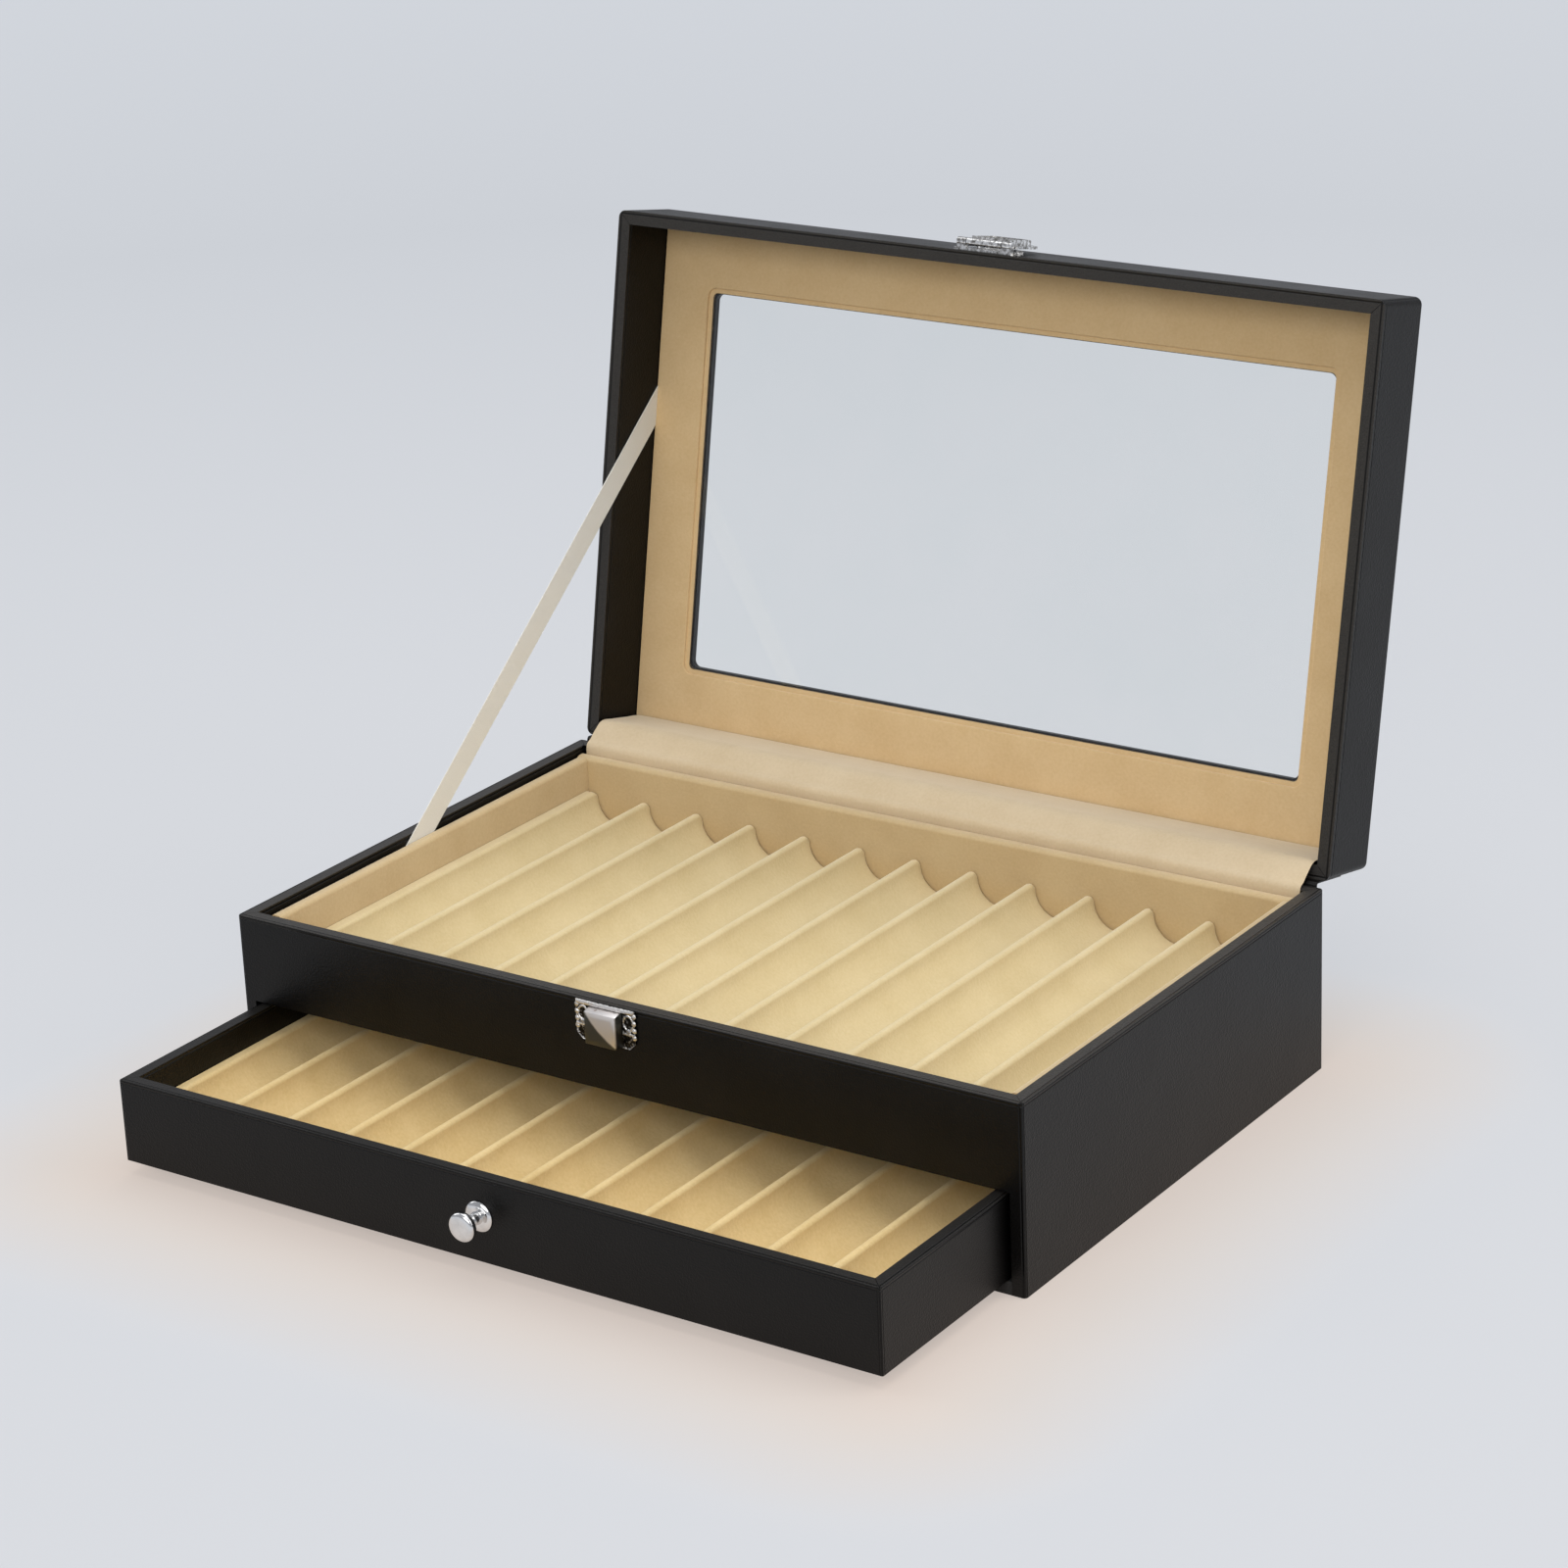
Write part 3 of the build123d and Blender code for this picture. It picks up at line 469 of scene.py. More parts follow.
dress(leather_case, "case_covering")
dress(leather_drawer, "drawer_covering")
dress(leather_lid, "lid_covering")
dress(leather, "hinge_spine")
dress(velvet_tray, "upper_pen_tray", "drawer_pen_tray", "liner_left", "liner_right",
      "liner_front", "liner_back")
dress(velvet_lid, "velvet_mat", "hinge_lining")
dress(nickel, "catch_plate", "catch_block")
dress(silver_painted_glints, "hasp_plate", "hasp_flap")
dress(steel, "catch_nails", "hasp_nails", "hasp_pin", "knob_screw")
dress(chrome, "knob", "knob_rosette")
dress(glass, "glass_pane")
dress(ribbon, "ribbon_stay")
dress(panel, "case_bottom_panel", "drawer_bottom", "tray_deck")
dress(board, *[n for n in nodes if n.endswith(("_wall", "_rail", "_side"))],
      "drawer_front", "drawer_back", "lid_top_frame")
print("dressed", sum(len(o.data.materials) > 0 for o in nodes.values()), "of", len(nodes))


# %% [markdown]
# ## The pen trays
# Each tray is one moulding, flocked with velvet: round-bottomed flutes with a narrow crest
# between them. One flute is drawn by spinning the crest's edge round the flute's axis, and an
# array repeats it. The crests are rounded by a bevel.
# %% A fluted tray
PITCH = 25.9
CREST = 3.2
CREST_ROUND = 1.4
FLUTE_DEPTH = 12.3
FLUTES = 12
END_ROUND = 2.4
END_ROWS = (0.0, 0.08, 0.25, 0.5, 1.0)
half_flute = (PITCH - CREST) / 2
flute_rise = (half_flute ** 2 - FLUTE_DEPTH ** 2) / (2 * FLUTE_DEPTH)
half_turn = math.acos(flute_rise / (FLUTE_DEPTH + flute_rise))


def fluted_tray(name, node):
    low, high = (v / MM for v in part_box(node))
    left = -FLUTES * PITCH / 2
    clear()
    bpy.ops.mesh.primitive_plane_add(size=1)
    piece = begin(name)
    piece.scale = (CREST / 2 * MM, (high.y - low.y) * MM, 1)
    piece.location = ((left + CREST / 4) * MM, (low.y + high.y) / 2 * MM, high.z * MM)
    bpy.ops.object.transform_apply(location=True, rotation=True, scale=True)
    edit()
    pick("edges", lambda m, d: m.x > left + CREST / 2 - 0.01)
    centre = ((left + PITCH / 2) * MM, 0, (high.z + flute_rise) * MM)
    bpy.ops.mesh.spin(steps=18, angle=2 * half_turn, center=centre, axis=(0, 1, 0))
    pick("edges", lambda m, d: m.x > left + PITCH - CREST / 2 - 0.01 and abs(d.y) > 0.9)
    bpy.ops.mesh.extrude_region_move(TRANSFORM_OT_translate={"value": (CREST / 2 * MM, 0, 0)})
    done()
    modify(piece, "ARRAY", count=FLUTES, use_relative_offset=False, use_constant_offset=True,
           constant_offset_displace=(PITCH * MM, 0, 0), use_merge_vertices=True,
           merge_threshold=0.00002)
    edit()
    for side, wall in ((-1, low.x), (1, high.x)):
        pick("edges", lambda m, d: m.x * side > -left - 0.01 and abs(d.y) > 0.9)
        bpy.ops.mesh.extrude_region_move(
            TRANSFORM_OT_translate={"value": ((wall - side * -left) * MM, 0, 0)})
    done()
    modify(piece, "BEVEL", width=CREST_ROUND * MM, segments=5, limit_method="ANGLE",
           angle_limit=math.radians(40))
    return piece, low, high


def round_ends(piece, low, high):
    """Rounds the tray over at both ends, by cutting rows close to them and lowering each."""
    only(piece)
    edit()
    for end, side in ((low.y, 1), (high.y, -1)):
        for part in END_ROWS[1:]:
            bpy.ops.mesh.select_all(action="SELECT")
            bpy.ops.mesh.bisect(plane_co=(0, (end + side * part * END_ROUND) * MM, 0),
                                plane_no=(0, 1, 0))
        for part in END_ROWS[:-1]:
            pick("points", lambda p: abs(p.y - end - side * part * END_ROUND) < 0.01)
            drop = END_ROUND * (1 - math.sqrt(1 - (1 - part) ** 2))
            bpy.ops.transform.translate(value=(0, 0, -drop * MM))
    done()


def close_under(piece, low):
    """Drops the tray's border to its underside and closes it."""
    only(piece)
    edit()
    bpy.ops.mesh.select_all(action="DESELECT")
    bpy.ops.mesh.select_non_manifold()
    bpy.ops.mesh.extrude_region_move(TRANSFORM_OT_translate={"value": (0, 0, 0)})
    bpy.ops.transform.resize(value=(1, 1, 0), center_override=(0, 0, low.z * MM))
    bpy.ops.mesh.edge_face_add()
    bpy.ops.mesh.select_all(action="SELECT")
    bpy.ops.mesh.normals_make_consistent(inside=False)
    done()


trays = (("upper_tray_velvet", "upper_pen_tray", "case", velvet_tray),
         ("drawer_tray_velvet", "drawer_pen_tray", "drawer", velvet_drawer_painted_shade))
for name, node, body, pile in trays:
    tray, low, high = fluted_tray(name, node)
    round_ends(tray, low, high)
    close_under(tray, low)
    smooth(tray, 50)
    tray.data.materials.append(pile.material)
    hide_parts(node)
    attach(tray, body)
    sizes = [round(v / MM, 1) for v in tray.dimensions]
    print(name, sizes, "mm,", len(tray.data.polygons), "faces")


# %% [markdown]
# ## The velvet-covered cards
# Cards wrapped in velvet line the upper compartment. Each is a block whose long top edges are
# beveled round, cut across many times, and then shaken a hair's breadth, as pasted cloth lies.
# %% Liner cards
CARD_ROUND = 1.6
CARD_SHAKE = 0.05


def card(name, node, along):
    low, high = (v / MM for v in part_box(node))
    piece = slab(name, low, high)
    edit()
    pick("edges", lambda m, d: m.z > high.z - 0.01 and abs(d[along]) > 0.9)
    bpy.ops.mesh.bevel(offset=CARD_ROUND * MM, segments=5)
    pick("edges", lambda m, d: abs(d[along]) > 0.9)
    bpy.ops.mesh.subdivide(number_cuts=24)
    bpy.ops.mesh.select_all(action="SELECT")
    bpy.ops.transform.vertex_random(offset=CARD_SHAKE * MM, seed=3 + along)
    done()
    smooth(piece, 50)
    piece.data.materials.append(velvet_liner.material)
    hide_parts(node)
    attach(piece, "case")


for side, along in (("left", 1), ("right", 1), ("front", 0), ("back", 0)):
    card("liner_velvet_" + side, "liner_" + side, along)
print("four liner cards")

# %% [markdown]
# The mat under the glass is two card frames, wrapped in a browner velvet. The near one has the
# larger window, so a narrow ledge of the far one shows inside it. Each is a thin block, and a
# second block with beveled corners, taken away from it, opens the window.
# %% Two frames round the window
MAT_X, MAT_Y = 164.3, 101.3
MAT_LOW, STEP, MAT_HIGH = 98.7, 99.9, 100.1
WINDOW_X, WINDOW_Y, LEDGE = 140.2, 77.1, 2.0
WINDOW_ASIDE, WINDOW_SHIFT = -0.3, 1.1
EDGE_ROUND, EDGE_SHARE = 0.45, 0.4      # a thin card's edge is rounded by no more than its share


def card_frame(name, low, high, half_x, half_y, corner):
    piece = slab(name, (-MAT_X, -MAT_Y, low), (MAT_X, MAT_Y, high))
    window = slab("window", (WINDOW_ASIDE - half_x, WINDOW_SHIFT - half_y, low - 1),
                  (WINDOW_ASIDE + half_x, WINDOW_SHIFT + half_y, high + 1))
    edit()
    pick("edges", lambda m, d: abs(d.z) > 0.9)
    bpy.ops.mesh.bevel(offset=corner * MM, segments=8)
    done()
    modify(piece, "BOOLEAN", object=window, operation="DIFFERENCE")
    bpy.data.objects.remove(window)
    only(piece)
    edit()
    pick("edges", lambda m, d: m.z < low + 0.01 and abs(d.z) < 0.1 and abs(m.x) < half_x + 0.5
         and abs(m.y - WINDOW_SHIFT) < half_y + 0.05)
    soft = min(EDGE_ROUND, EDGE_SHARE * (high - low))
    bpy.ops.mesh.bevel(offset=soft * MM, segments=3)
    done()
    swing(piece)
    smooth(piece, 40)
    piece.data.materials.append(velvet_lid.material)
    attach(piece, "lid")
    print(name, [round(v / MM, 1) for v in piece.dimensions])
    return piece


mat = card_frame("window_mat", MAT_LOW, STEP, WINDOW_X + LEDGE, WINDOW_Y + LEDGE, 4.0)
ledge = card_frame("window_ledge", STEP, MAT_HIGH, WINDOW_X, WINDOW_Y, 2.2)
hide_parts("velvet_mat")
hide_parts("velvet_mat")


# %% [markdown]
# ## Cloth at the hinge
# Two strips of cloth join lid and case: black leathercloth outside, and velvet inside. A strip
# is a narrow plane whose last edge is extruded from point to point along the way it lies.
# %% A strip that follows a line
def strip(name, half, line, cuts):
    """A strip across the chest, along points given as (y, z) in millimetres."""
    (y0, z0), (_, z1) = line[:2]
    clear()
    bpy.ops.mesh.primitive_plane_add(size=1, rotation=(math.pi / 2, 0, 0),
                                     location=(0, y0 * MM, (z0 + z1) / 2 * MM))
    piece = bpy.context.object
    piece.scale = (2 * half * MM, (z1 - z0) * MM, 1)
    piece = begin(name)
    edit()
    for (ya, za), (yb, zb) in zip(line[1:], line[2:]):
        pick("edges", lambda m, d: abs(d.x) > 0.9 and (m.yz - Vector((ya, za))).length < 0.01)
        bpy.ops.mesh.extrude_region_move(
            TRANSFORM_OT_translate={"value": (0, (yb - ya) * MM, (zb - za) * MM)})
    pick("edges", lambda m, d: abs(d.x) > 0.9)
    bpy.ops.mesh.subdivide(number_cuts=cuts)
    bpy.ops.mesh.select_all(action="SELECT")
    bpy.ops.mesh.remove_doubles(threshold=0.00001)
    bpy.ops.mesh.normals_make_consistent(inside=False)
    done()
    return piece


def length(line):
    return sum((Vector(b) - Vector(a)).length for a, b in zip(line, line[1:]))


# %% [markdown]
# The leathercloth outside is pasted flat to the backs of case and lid and folds between them,
# so its line follows the two backs and the fold.
# %% The leathercloth outside the hinge
outside = [(107.4, 56.0), (107.4, 71.3), (107.45, 72.4), (108.0, 73.05), (109.2, 72.95)]
outside += [tuple(swung(0, 107.4, z).yz) for z in (72.4, 88.4)]
CLOTH_HALF = 167.0
spine = strip("hinge_leathercloth", CLOTH_HALF, outside, 12)
modify(spine, "SOLIDIFY", thickness=0.7 * MM, offset=0)
modify(spine, "BEVEL", width=0.15 * MM, segments=2, limit_method="ANGLE")
smooth(spine, 40)
spine.data.materials.append(leather.material)
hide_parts("hinge_spine")
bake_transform(spine)
print("leathercloth strip", round(length(outside), 1), "mm long")

# %% [markdown]
# The velvet inside comes up from behind the back card, bends over the rim and lies along the
# lid to the mat. Loose cloth wrinkles where it bends, so three of its rows are raised or
# lowered a little, and the whole is shaken by a hair's breadth.
# %% The velvet inside the hinge
CREASES = ((102.4, 73.0, 0.45), (104.2, 74.0, -0.35), (106.0, 75.2, 0.3))
inside = [(101.2, 58.0), (101.2, 70.4), (101.5, 71.9), (102.4, 73.0), (104.2, 74.0),
          (106.0, 75.2), (108.0, 76.8), (110.0, 78.3), (112.0, 79.3), (114.5, 79.3),
          (118.0, 78.3), (123.0, 77.2), (127.0, 76.2), (131.0, 75.2), (134.5, 74.6),
          (137.6, 73.8)]
LINING_HALF = 163.6
lining = strip("hinge_velvet", LINING_HALF, inside, 30)
only(lining)
edit()
bpy.ops.mesh.select_all(action="SELECT")
bpy.ops.transform.vertex_random(offset=0.08 * MM, seed=11)
for y, z, lift in CREASES:
    pick("points", lambda p: (p.yz - Vector((y, z))).length < 0.3)
    bpy.ops.transform.translate(value=(0, 0, lift * MM))
done()
modify(lining, "SOLIDIFY", thickness=0.6 * MM, offset=0)
modify(lining, "SUBSURF", levels=1, render_levels=1)
smooth(lining, 60)
lining.data.materials.append(velvet_hinge.material)
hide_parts("hinge_lining")
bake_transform(lining)
print("velvet strip", round(length(inside), 1), "mm long")

# %% [markdown]
# ## The ribbon stay
# A satin ribbon stops the lid. It is taut, so it lies flat in one upright plane beside the left
# wall, from behind the liner to the mat. A grid is turned into that plane and cut off at the
# mat by a bisect.
# %% The ribbon
RIBBON, TUCK = 10.5, 12.0
RIBBON_PLANE = -164.2
foot = Vector((RIBBON_PLANE, -5.0, 69.2))
head = swung(RIBBON_PLANE, -27.6, MAT_LOW - 0.05)
along = (head - foot).normalized()
across = Vector((1, 0, 0)).cross(along)
start, stop = foot - along * TUCK, head + along * RIBBON
clear()
bpy.ops.mesh.primitive_grid_add(x_subdivisions=6, y_subdivisions=60, size=1)
band = bpy.context.object
band.scale = (RIBBON * MM, (stop - start).length * MM, 1)
bpy.ops.object.transform_apply(location=False, rotation=False, scale=True)
turn = Matrix((across, along, Vector((1, 0, 0)))).transposed().to_4x4()
band.matrix_world = Matrix.Translation((start + stop) / 2 * MM) @ turn
band = begin("ribbon")
edit()
bpy.ops.mesh.select_all(action="SELECT")
mat_normal = (SWING.to_3x3() @ Vector((0, 0, 1)))
bpy.ops.mesh.bisect(plane_co=head * MM, plane_no=mat_normal, clear_outer=True)
done()
modify(band, "SOLIDIFY", thickness=0.3 * MM, offset=0)
smooth(band, 40)
band.data.materials.append(ribbon.material)
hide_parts("ribbon_stay")
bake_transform(band)


# %% [markdown]
# ## The turned knob
# A knob is turned on a lathe, so it is drawn as rings on one axis: a disc is extruded outwards
# and each new ring is scaled to its radius. A subdivision surface rounds it off.
# %% Turned pieces
def turned(name, centre, rings):
    """Rings are (distance out, radius) in millimetres, from the drawer face outwards."""
    centre = Vector(centre) * MM
    out, radius = rings[0]
    clear()
    bpy.ops.mesh.primitive_circle_add(vertices=32, radius=radius * MM, fill_type="NGON",
                                      rotation=(math.pi / 2, 0, 0),
                                      location=centre + Vector((0, -out * MM, 0)))
    piece = begin(name)
    edit()
    bpy.ops.mesh.select_all(action="SELECT")
    for (out, radius), (next_out, next_radius) in zip(rings, rings[1:]):
        step = (0, -(next_out - out) * MM, 0)
        bpy.ops.mesh.extrude_region_move(TRANSFORM_OT_translate={"value": step})
        grow = next_radius / radius
        bpy.ops.transform.resize(value=(grow, 1, grow), center_override=centre)
    bpy.ops.mesh.select_all(action="SELECT")
    bpy.ops.mesh.normals_make_consistent(inside=False)
    done()
    modify(piece, "SUBSURF", levels=2, render_levels=2)
    smooth(piece, 60)
    return piece


# %% [markdown]
# The rosette is a shallow dome against the drawer's face. The knob has a waist behind a broad
# round head. Each is a list of rings, close together where the real edge is tight.
# %% Knob and rosette
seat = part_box("knob_rosette")
centre = ((seat[0] + seat[1]) / 2 / MM)
centre.y = seat[1].y / MM
ROSETTE_RINGS = ((0.0, 5.75), (0.05, 5.8), (0.5, 5.8), (0.65, 5.7), (1.1, 5.2), (1.45, 4.4),
                 (1.58, 3.6), (1.6, 2.4), (1.6, 1.0))
GRIP_RINGS = ((1.5, 2.4), (1.6, 2.5), (2.2, 2.35), (4.2, 2.1), (5.6, 2.4), (6.9, 3.6),
              (8.0, 5.1), (8.3, 5.35), (8.5, 5.4), (9.6, 5.4), (9.9, 5.38), (10.35, 5.1),
              (10.75, 4.5), (10.9, 3.6), (10.98, 2.0), (11.0, 0.6))
rosette = turned("knob_rosette_plate", centre, ROSETTE_RINGS)
grip = turned("knob_grip", centre, GRIP_RINGS)
for piece, node in ((rosette, "knob_rosette"), (grip, "knob")):
    piece.data.materials.append(chrome.material)
    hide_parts(node)
    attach(piece, "drawer")
print("knob", [round(v / MM, 1) for v in grip.dimensions])


# %% [markdown]
# ## The catch
# A thin stamped plate carries a polished block, which the hasp drops over. The plate starts as
# a slab with cut corners and a sunk field. A stamp raises beads, oval rings and ridges from the
# field: here they are round parts, flattened, cut off at the back and laid on it.
# %% Parts of the stamped plate
PLATE_FACE, PLATE_FIELD, PLATE_BACK = -107.8, -107.45, -107
PLATE_X, PLATE_LOW, PLATE_HIGH = 13.4, 56.7, 71.7
PLATE_EDGE, PLATE_CORNER = 0.7, 2.4
RIDGE_FACE = -108.15


def sunk_plate():
    plate = slab("catch_stamping", (-PLATE_X + PLATE_EDGE, PLATE_FACE, PLATE_LOW),
                 (PLATE_X - PLATE_EDGE, PLATE_BACK, PLATE_HIGH))
    edit()
    pick("edges", lambda m, d: abs(d.y) > 0.9 and m.z < 60)
    bpy.ops.mesh.bevel(offset=PLATE_CORNER * MM, segments=1)
    pick("faces", lambda m, n: n.y < -0.9)
    bpy.ops.mesh.inset(thickness=PLATE_EDGE * MM)
    bpy.ops.transform.translate(value=(0, (PLATE_FIELD - PLATE_FACE) * MM, 0))
    bpy.ops.mesh.inset(thickness=0.15 * MM)
    done()
    return plate


def piece_middle(piece):
    corners = [Vector(c) for c in piece.bound_box]
    return sum(corners, Vector()) / 8


def laid_on(piece, flatten, tall=1.0):
    """Flattens a round part on to the sunk field and cuts off what lies behind it."""
    edit()
    bpy.ops.mesh.select_all(action="SELECT")
    bpy.ops.transform.resize(value=(1, flatten, tall), center_override=piece_middle(piece))
    bpy.ops.mesh.select_all(action="SELECT")
    bpy.ops.mesh.bisect(plane_co=(0, (PLATE_FIELD + 0.1) * MM, 0), plane_no=(0, 1, 0),
                        clear_outer=True, use_fill=True)
    done()
    return piece


def bead(x, z, radius):
    clear()
    bpy.ops.mesh.primitive_uv_sphere_add(segments=16, ring_count=8, radius=radius * MM,
                                         location=(x * MM, PLATE_FIELD * MM, z * MM))
    return laid_on(begin("bead"), 0.62)


def oval_ring(x, z):
    clear()
    bpy.ops.mesh.primitive_torus_add(major_segments=24, minor_segments=8,
                                     rotation=(math.pi / 2, 0, 0),
                                     location=(x * MM, PLATE_FIELD * MM, z * MM),
                                     major_radius=2.1 * MM, minor_radius=0.5 * MM)
    return laid_on(begin("ring"), 0.9, 1.3)


def ridge(x0, x1, z, half=0.5):
    bar = slab("ridge", (x0, RIDGE_FACE, z - half), (x1, PLATE_FIELD + 0.1, z + half))
    edit()
    pick("edges", lambda m, d: abs(d.x) > 0.9 and m.y < PLATE_FIELD)
    bpy.ops.mesh.bevel(offset=0.3 * MM, segments=2)
    done()
    return bar


# %% [markdown]
# Four beads stand along each side, with an oval ring and a short ridge inside them, and one long
# ridge runs along the top. They are joined to the plate as one piece.
# %% The stamped plate
BEAD_X, BEAD_RADIUS, BEAD_HEIGHTS = 12.3, 1.1, (69.6, 66.9, 64.2, 61.5)
RING_X, RING_HEIGHT = 9.8, 66.6
SHORT_RIDGE, SHORT_HEIGHT = (7.6, 12.6), 62.5
LONG_RIDGE, LONG_HEIGHT, LONG_HALF = 12.4, 70.85, 0.8
stamping = sunk_plate()
parts = [bead(side * BEAD_X, z, BEAD_RADIUS) for side in (-1, 1) for z in BEAD_HEIGHTS]
parts += [oval_ring(side * RING_X, RING_HEIGHT) for side in (-1, 1)]
parts += [ridge(*sorted(side * x for x in SHORT_RIDGE), SHORT_HEIGHT) for side in (-1, 1)]
parts += [ridge(-LONG_RIDGE, LONG_RIDGE, LONG_HEIGHT, LONG_HALF)]
only(stamping)
for part in parts:
    part.select_set(True)
bpy.ops.object.join()
smooth(stamping, 45)
stamping.data.materials.append(stamped.material)
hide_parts("catch_plate")
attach(stamping, "case")
print("catch plate", [round(v / MM, 1) for v in stamping.dimensions])

# %% [markdown]
# The block tapers a little towards its face, which is slightly domed: it is inset twice, and
# drawn out a hair's breadth each time. A small dark dot near its top is drawn as a drilled hole.
# %% The polished block
BLOCK_LOW, BLOCK_MIDDLE, BLOCK_HIGH = 56.5, 63.2, 69.9
BLOCK_FACE, BLOCK_BACK = -111.4, -107.4
FACE_SHARE = (13.2 / 14.2, 1, 12.4 / 13.4)
DRILL_PLACE, DRILL_RADIUS = (-2.84, -109.5, 69.6), 0.6
button = slab("catch_button", (-BLOCK_X, BLOCK_FACE, BLOCK_LOW), (BLOCK_X, BLOCK_BACK, BLOCK_HIGH))
edit()
pick("faces", lambda m, n: n.y < -0.9)
bpy.ops.transform.resize(value=FACE_SHARE, center_override=(0, 0, BLOCK_MIDDLE * MM))
pick("edges", lambda m, d: m.y < -107.5)
bpy.ops.mesh.bevel(offset=0.22 * MM, segments=3)
pick("faces", lambda m, n: n.y < -0.99 and m.y < -111)
for _ in range(2):
    bpy.ops.mesh.inset(thickness=2.0 * MM)
    bpy.ops.transform.translate(value=(0, -0.04 * MM, 0))
done()
clear()
bpy.ops.mesh.primitive_cylinder_add(vertices=20, radius=DRILL_RADIUS * MM, depth=2 * MM,
                                    location=[v * MM for v in DRILL_PLACE])
drill = begin("drill")
modify(button, "BOOLEAN", object=drill, operation="DIFFERENCE")
bpy.data.objects.remove(drill)
smooth(button, 30)
button.data.materials.append(polished.material)
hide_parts("catch_block")
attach(button, "case")
print("catch block", [round(v / MM, 1) for v in button.dimensions])

# %% [markdown]
# ## Floor, light and camera
# A pale sheet runs under the chest. Its base colour is dark, so that it throws little light up
# at the chest, and it looks pale because it glows, but only where the camera, a reflection or
# the glass sees it. Near the chest both colours are warmer, by the distance from where the
# chest stands on display: a painted pool of warm light round the chest.
# %% Floor
NEAR_X, NEAR_Y, NEAR_MIDDLE = 160.0, 140.0, -38.0
SPREAD = 0.0004
clear()
bpy.ops.mesh.primitive_plane_add(size=14, location=(0, 2, -0.0002))
floor = begin("floor")
paper = Finish("pale_floor", Roughness=0.9, Specular_IOR_Level=0.15)
x, y, _ = paper.split(paper.where)
out_x = paper.math("MAXIMUM", paper.math("SUBTRACT", paper.math("ABSOLUTE", x), NEAR_X), 0.0)
mid_y = paper.math("ABSOLUTE", paper.math("SUBTRACT", y, NEAR_MIDDLE))
out_y = paper.math("MAXIMUM", paper.math("SUBTRACT", mid_y, NEAR_Y), 0.0)
away = paper.math("SQRT", paper.math("ADD", paper.math("MULTIPLY", out_x, out_x),
                                     paper.math("MULTIPLY", out_y, out_y)))
away = paper.math("MULTIPLY", away, SPREAD)
# The base colour is warmer and lighter near the chest: a painted pool of warm light.
paper.link(paper.ramp(away, (0.0, (0.29, 0.235, 0.195)), (0.016, (0.25, 0.22, 0.195)),
                      (0.04, (0.20, 0.197, 0.20)), (0.5, (0.185, 0.19, 0.20)),
                      (1.0, (0.37, 0.38, 0.395))), "Base Color")
seen = paper.add("LightPath").outputs
ray = paper.math("MAXIMUM", seen["Is Camera Ray"],
                 paper.math("MAXIMUM", seen["Is Glossy Ray"], seen["Is Transmission Ray"]))
# The glow is warmer near the chest too: the same painted pool of warm light.
paper.link(paper.ramp(away, (0.0, (0.465, 0.415, 0.385)), (0.013, (0.455, 0.43, 0.415)),
                      (0.035, (0.455, 0.475, 0.505))), "Emission Color")
paper.link(ray, "Emission Strength")
floor.data.materials.append(paper.material)
print("the floor's finish has", len(paper.tree.nodes), "nodes")

# %% [markdown]
# Four large soft lights and a pale world light the chest evenly, and keep the black covering
# readable. The strongest two hang overhead and high in front.
# %% Lights
def softbox(name, place, aim, size, power, colour=(1, 1, 1)):
    light = bpy.data.lights.new(name, "AREA")
    light.shape = "RECTANGLE"
    light.size, light.size_y = size
    light.energy = power
    light.color = colour
    lamp = bpy.data.objects.new(name, light)
    lamp.location = place
    lamp.rotation_euler = (Vector(aim) - Vector(place)).to_track_quat("-Z", "Y").to_euler()
    bpy.context.collection.objects.link(lamp)


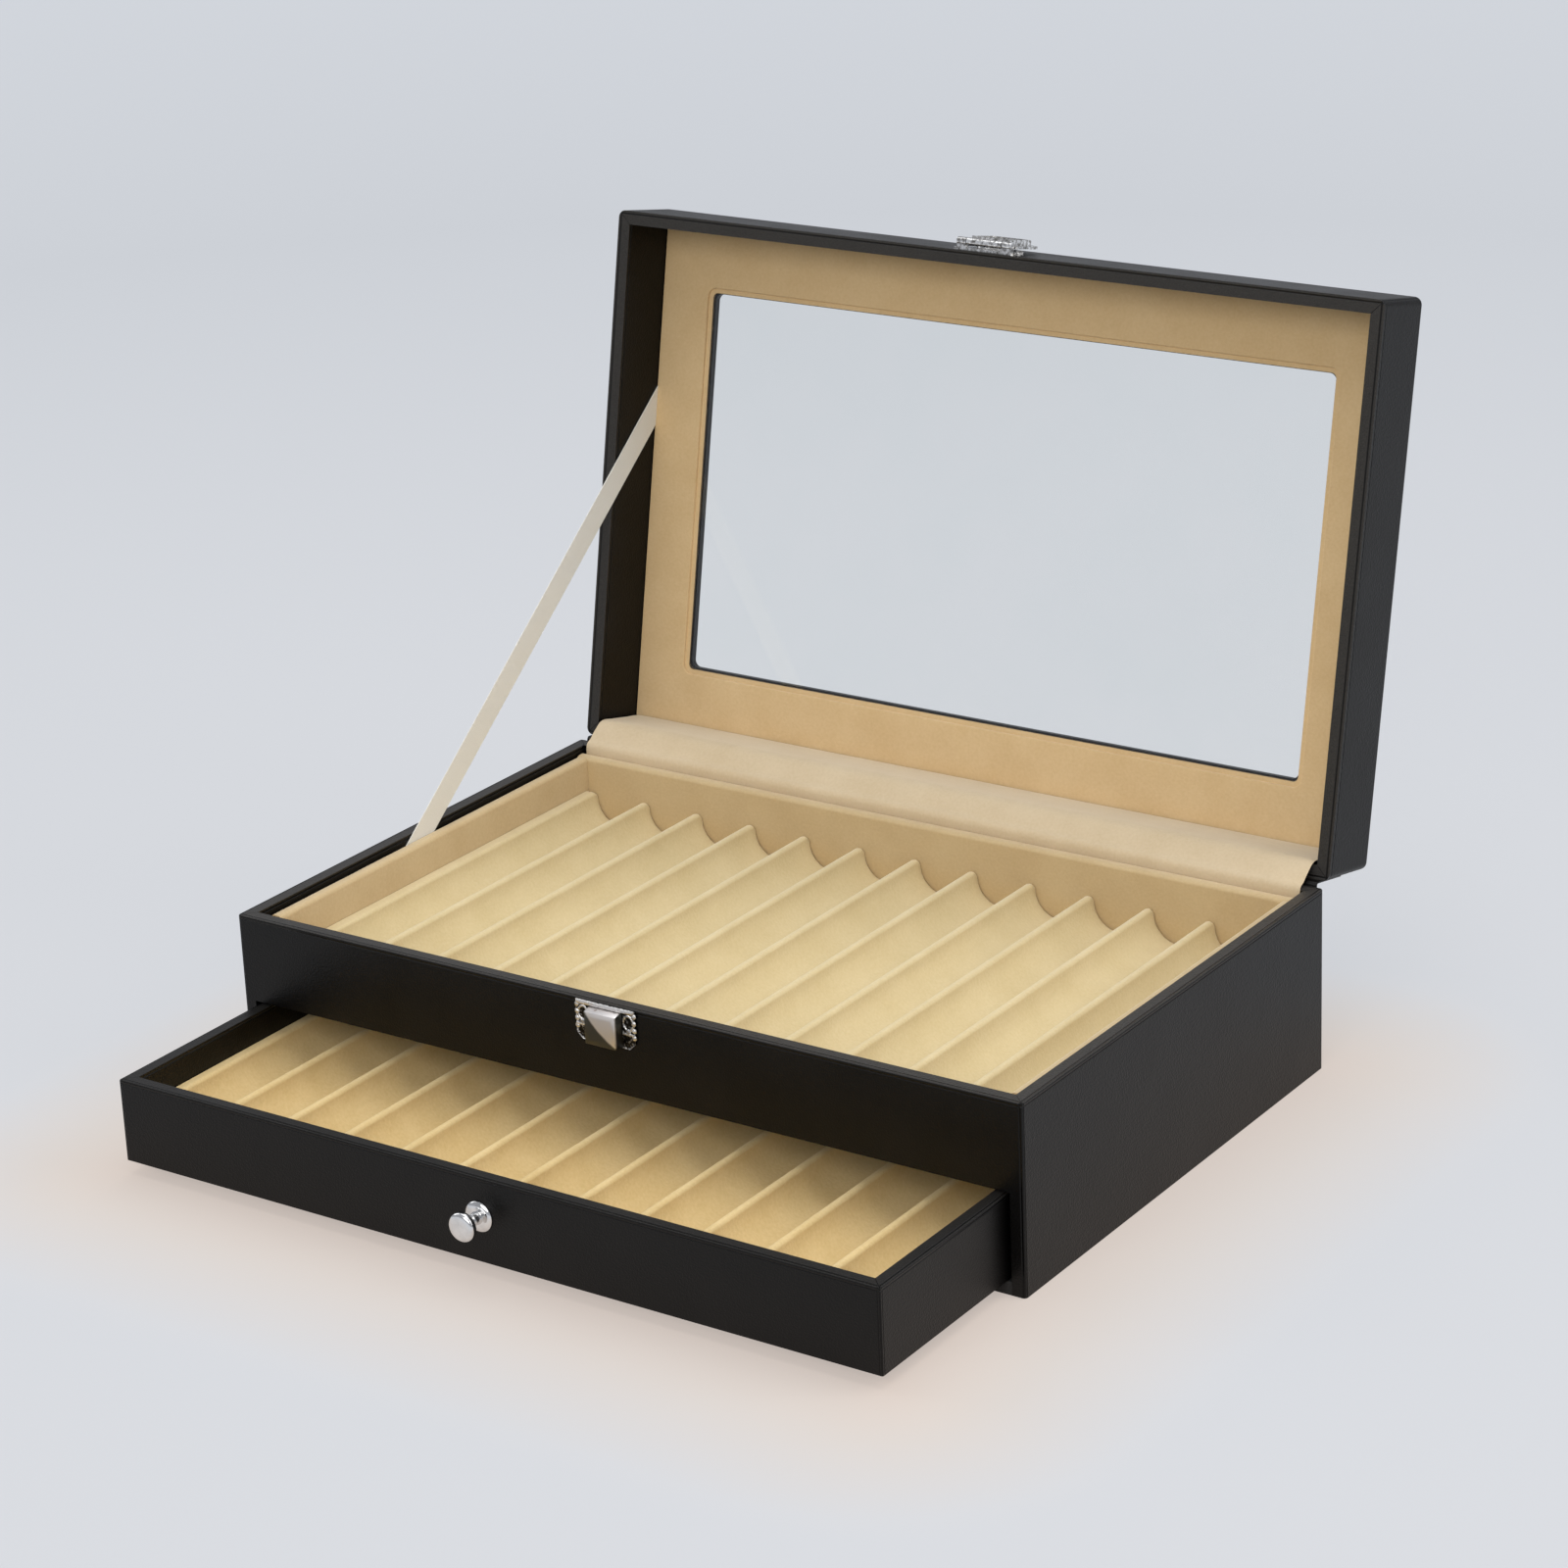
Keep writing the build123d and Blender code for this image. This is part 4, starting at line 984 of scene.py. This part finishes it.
softbox("overhead", (0.1, 0.2, 1.8), (0, 0, 0), (2.2, 1.8), 19)
softbox("from_the_left", (-1.7, -0.3, 1.1), (0, 0, 0.1), (1.0, 1.2), 5)
softbox("high_in_front", (0.4, -1.8, 1.15), (0, 0, 0.2), (1.6, 1.0), 17, (1.0, 0.985, 0.96))
softbox("from_the_right", (1.5, 0.5, 1.0), (0, 0, 0.1), (1.2, 1.2), 12, (1.0, 0.98, 0.96))
world = bpy.data.worlds.new("pale_room")
world.use_nodes = True
world.node_tree.nodes["Background"].inputs["Color"].default_value = (0.70, 0.72, 0.77, 1)
world.node_tree.nodes["Background"].inputs["Strength"].default_value = 0.55
bpy.context.scene.world = world
print(len(bpy.data.lights), "lights")

# %% [markdown]
# The camera was worked out from the chest's edges, which gave its place, its three angles and
# its focal length in pixels of the frame.
# %% Camera
SENSOR_WIDTH = 36
FOCAL_PIXELS, FRAME_PIXELS = 4384.6, 1600


def camera(place, yaw, pitch, roll, lens):
    """A camera by its place and three angles, in metres and degrees."""
    yaw, pitch, roll = (math.radians(a) for a in (yaw, pitch, roll))
    ahead = Vector((-math.sin(yaw) * math.cos(pitch), math.cos(yaw) * math.cos(pitch),
                    math.sin(pitch)))
    right = ahead.cross(Vector((0, 0, 1))).normalized()
    up = right.cross(ahead)
    across = right * math.cos(roll) + up * math.sin(roll)
    above = -right * math.sin(roll) + up * math.cos(roll)
    lens_data = bpy.data.cameras.new("camera")
    lens_data.lens = lens
    lens_data.sensor_width = SENSOR_WIDTH
    lens_data.clip_start = 0.01
    eye = bpy.data.objects.new("camera", lens_data)
    columns = Matrix((across, above, -ahead)).transposed()
    eye.matrix_world = Matrix.Translation(place) @ columns.to_4x4()
    bpy.context.collection.objects.link(eye)
    bpy.context.scene.camera = eye


camera((0.84609, -1.20171, 0.67177), yaw=34.98, pitch=-20.64, roll=-2.43,
       lens=FOCAL_PIXELS * SENSOR_WIDTH / FRAME_PIXELS)
bpy.context.scene.view_settings.view_transform = "Standard"
print("focal length", round(bpy.context.scene.camera.data.lens, 1), "mm")
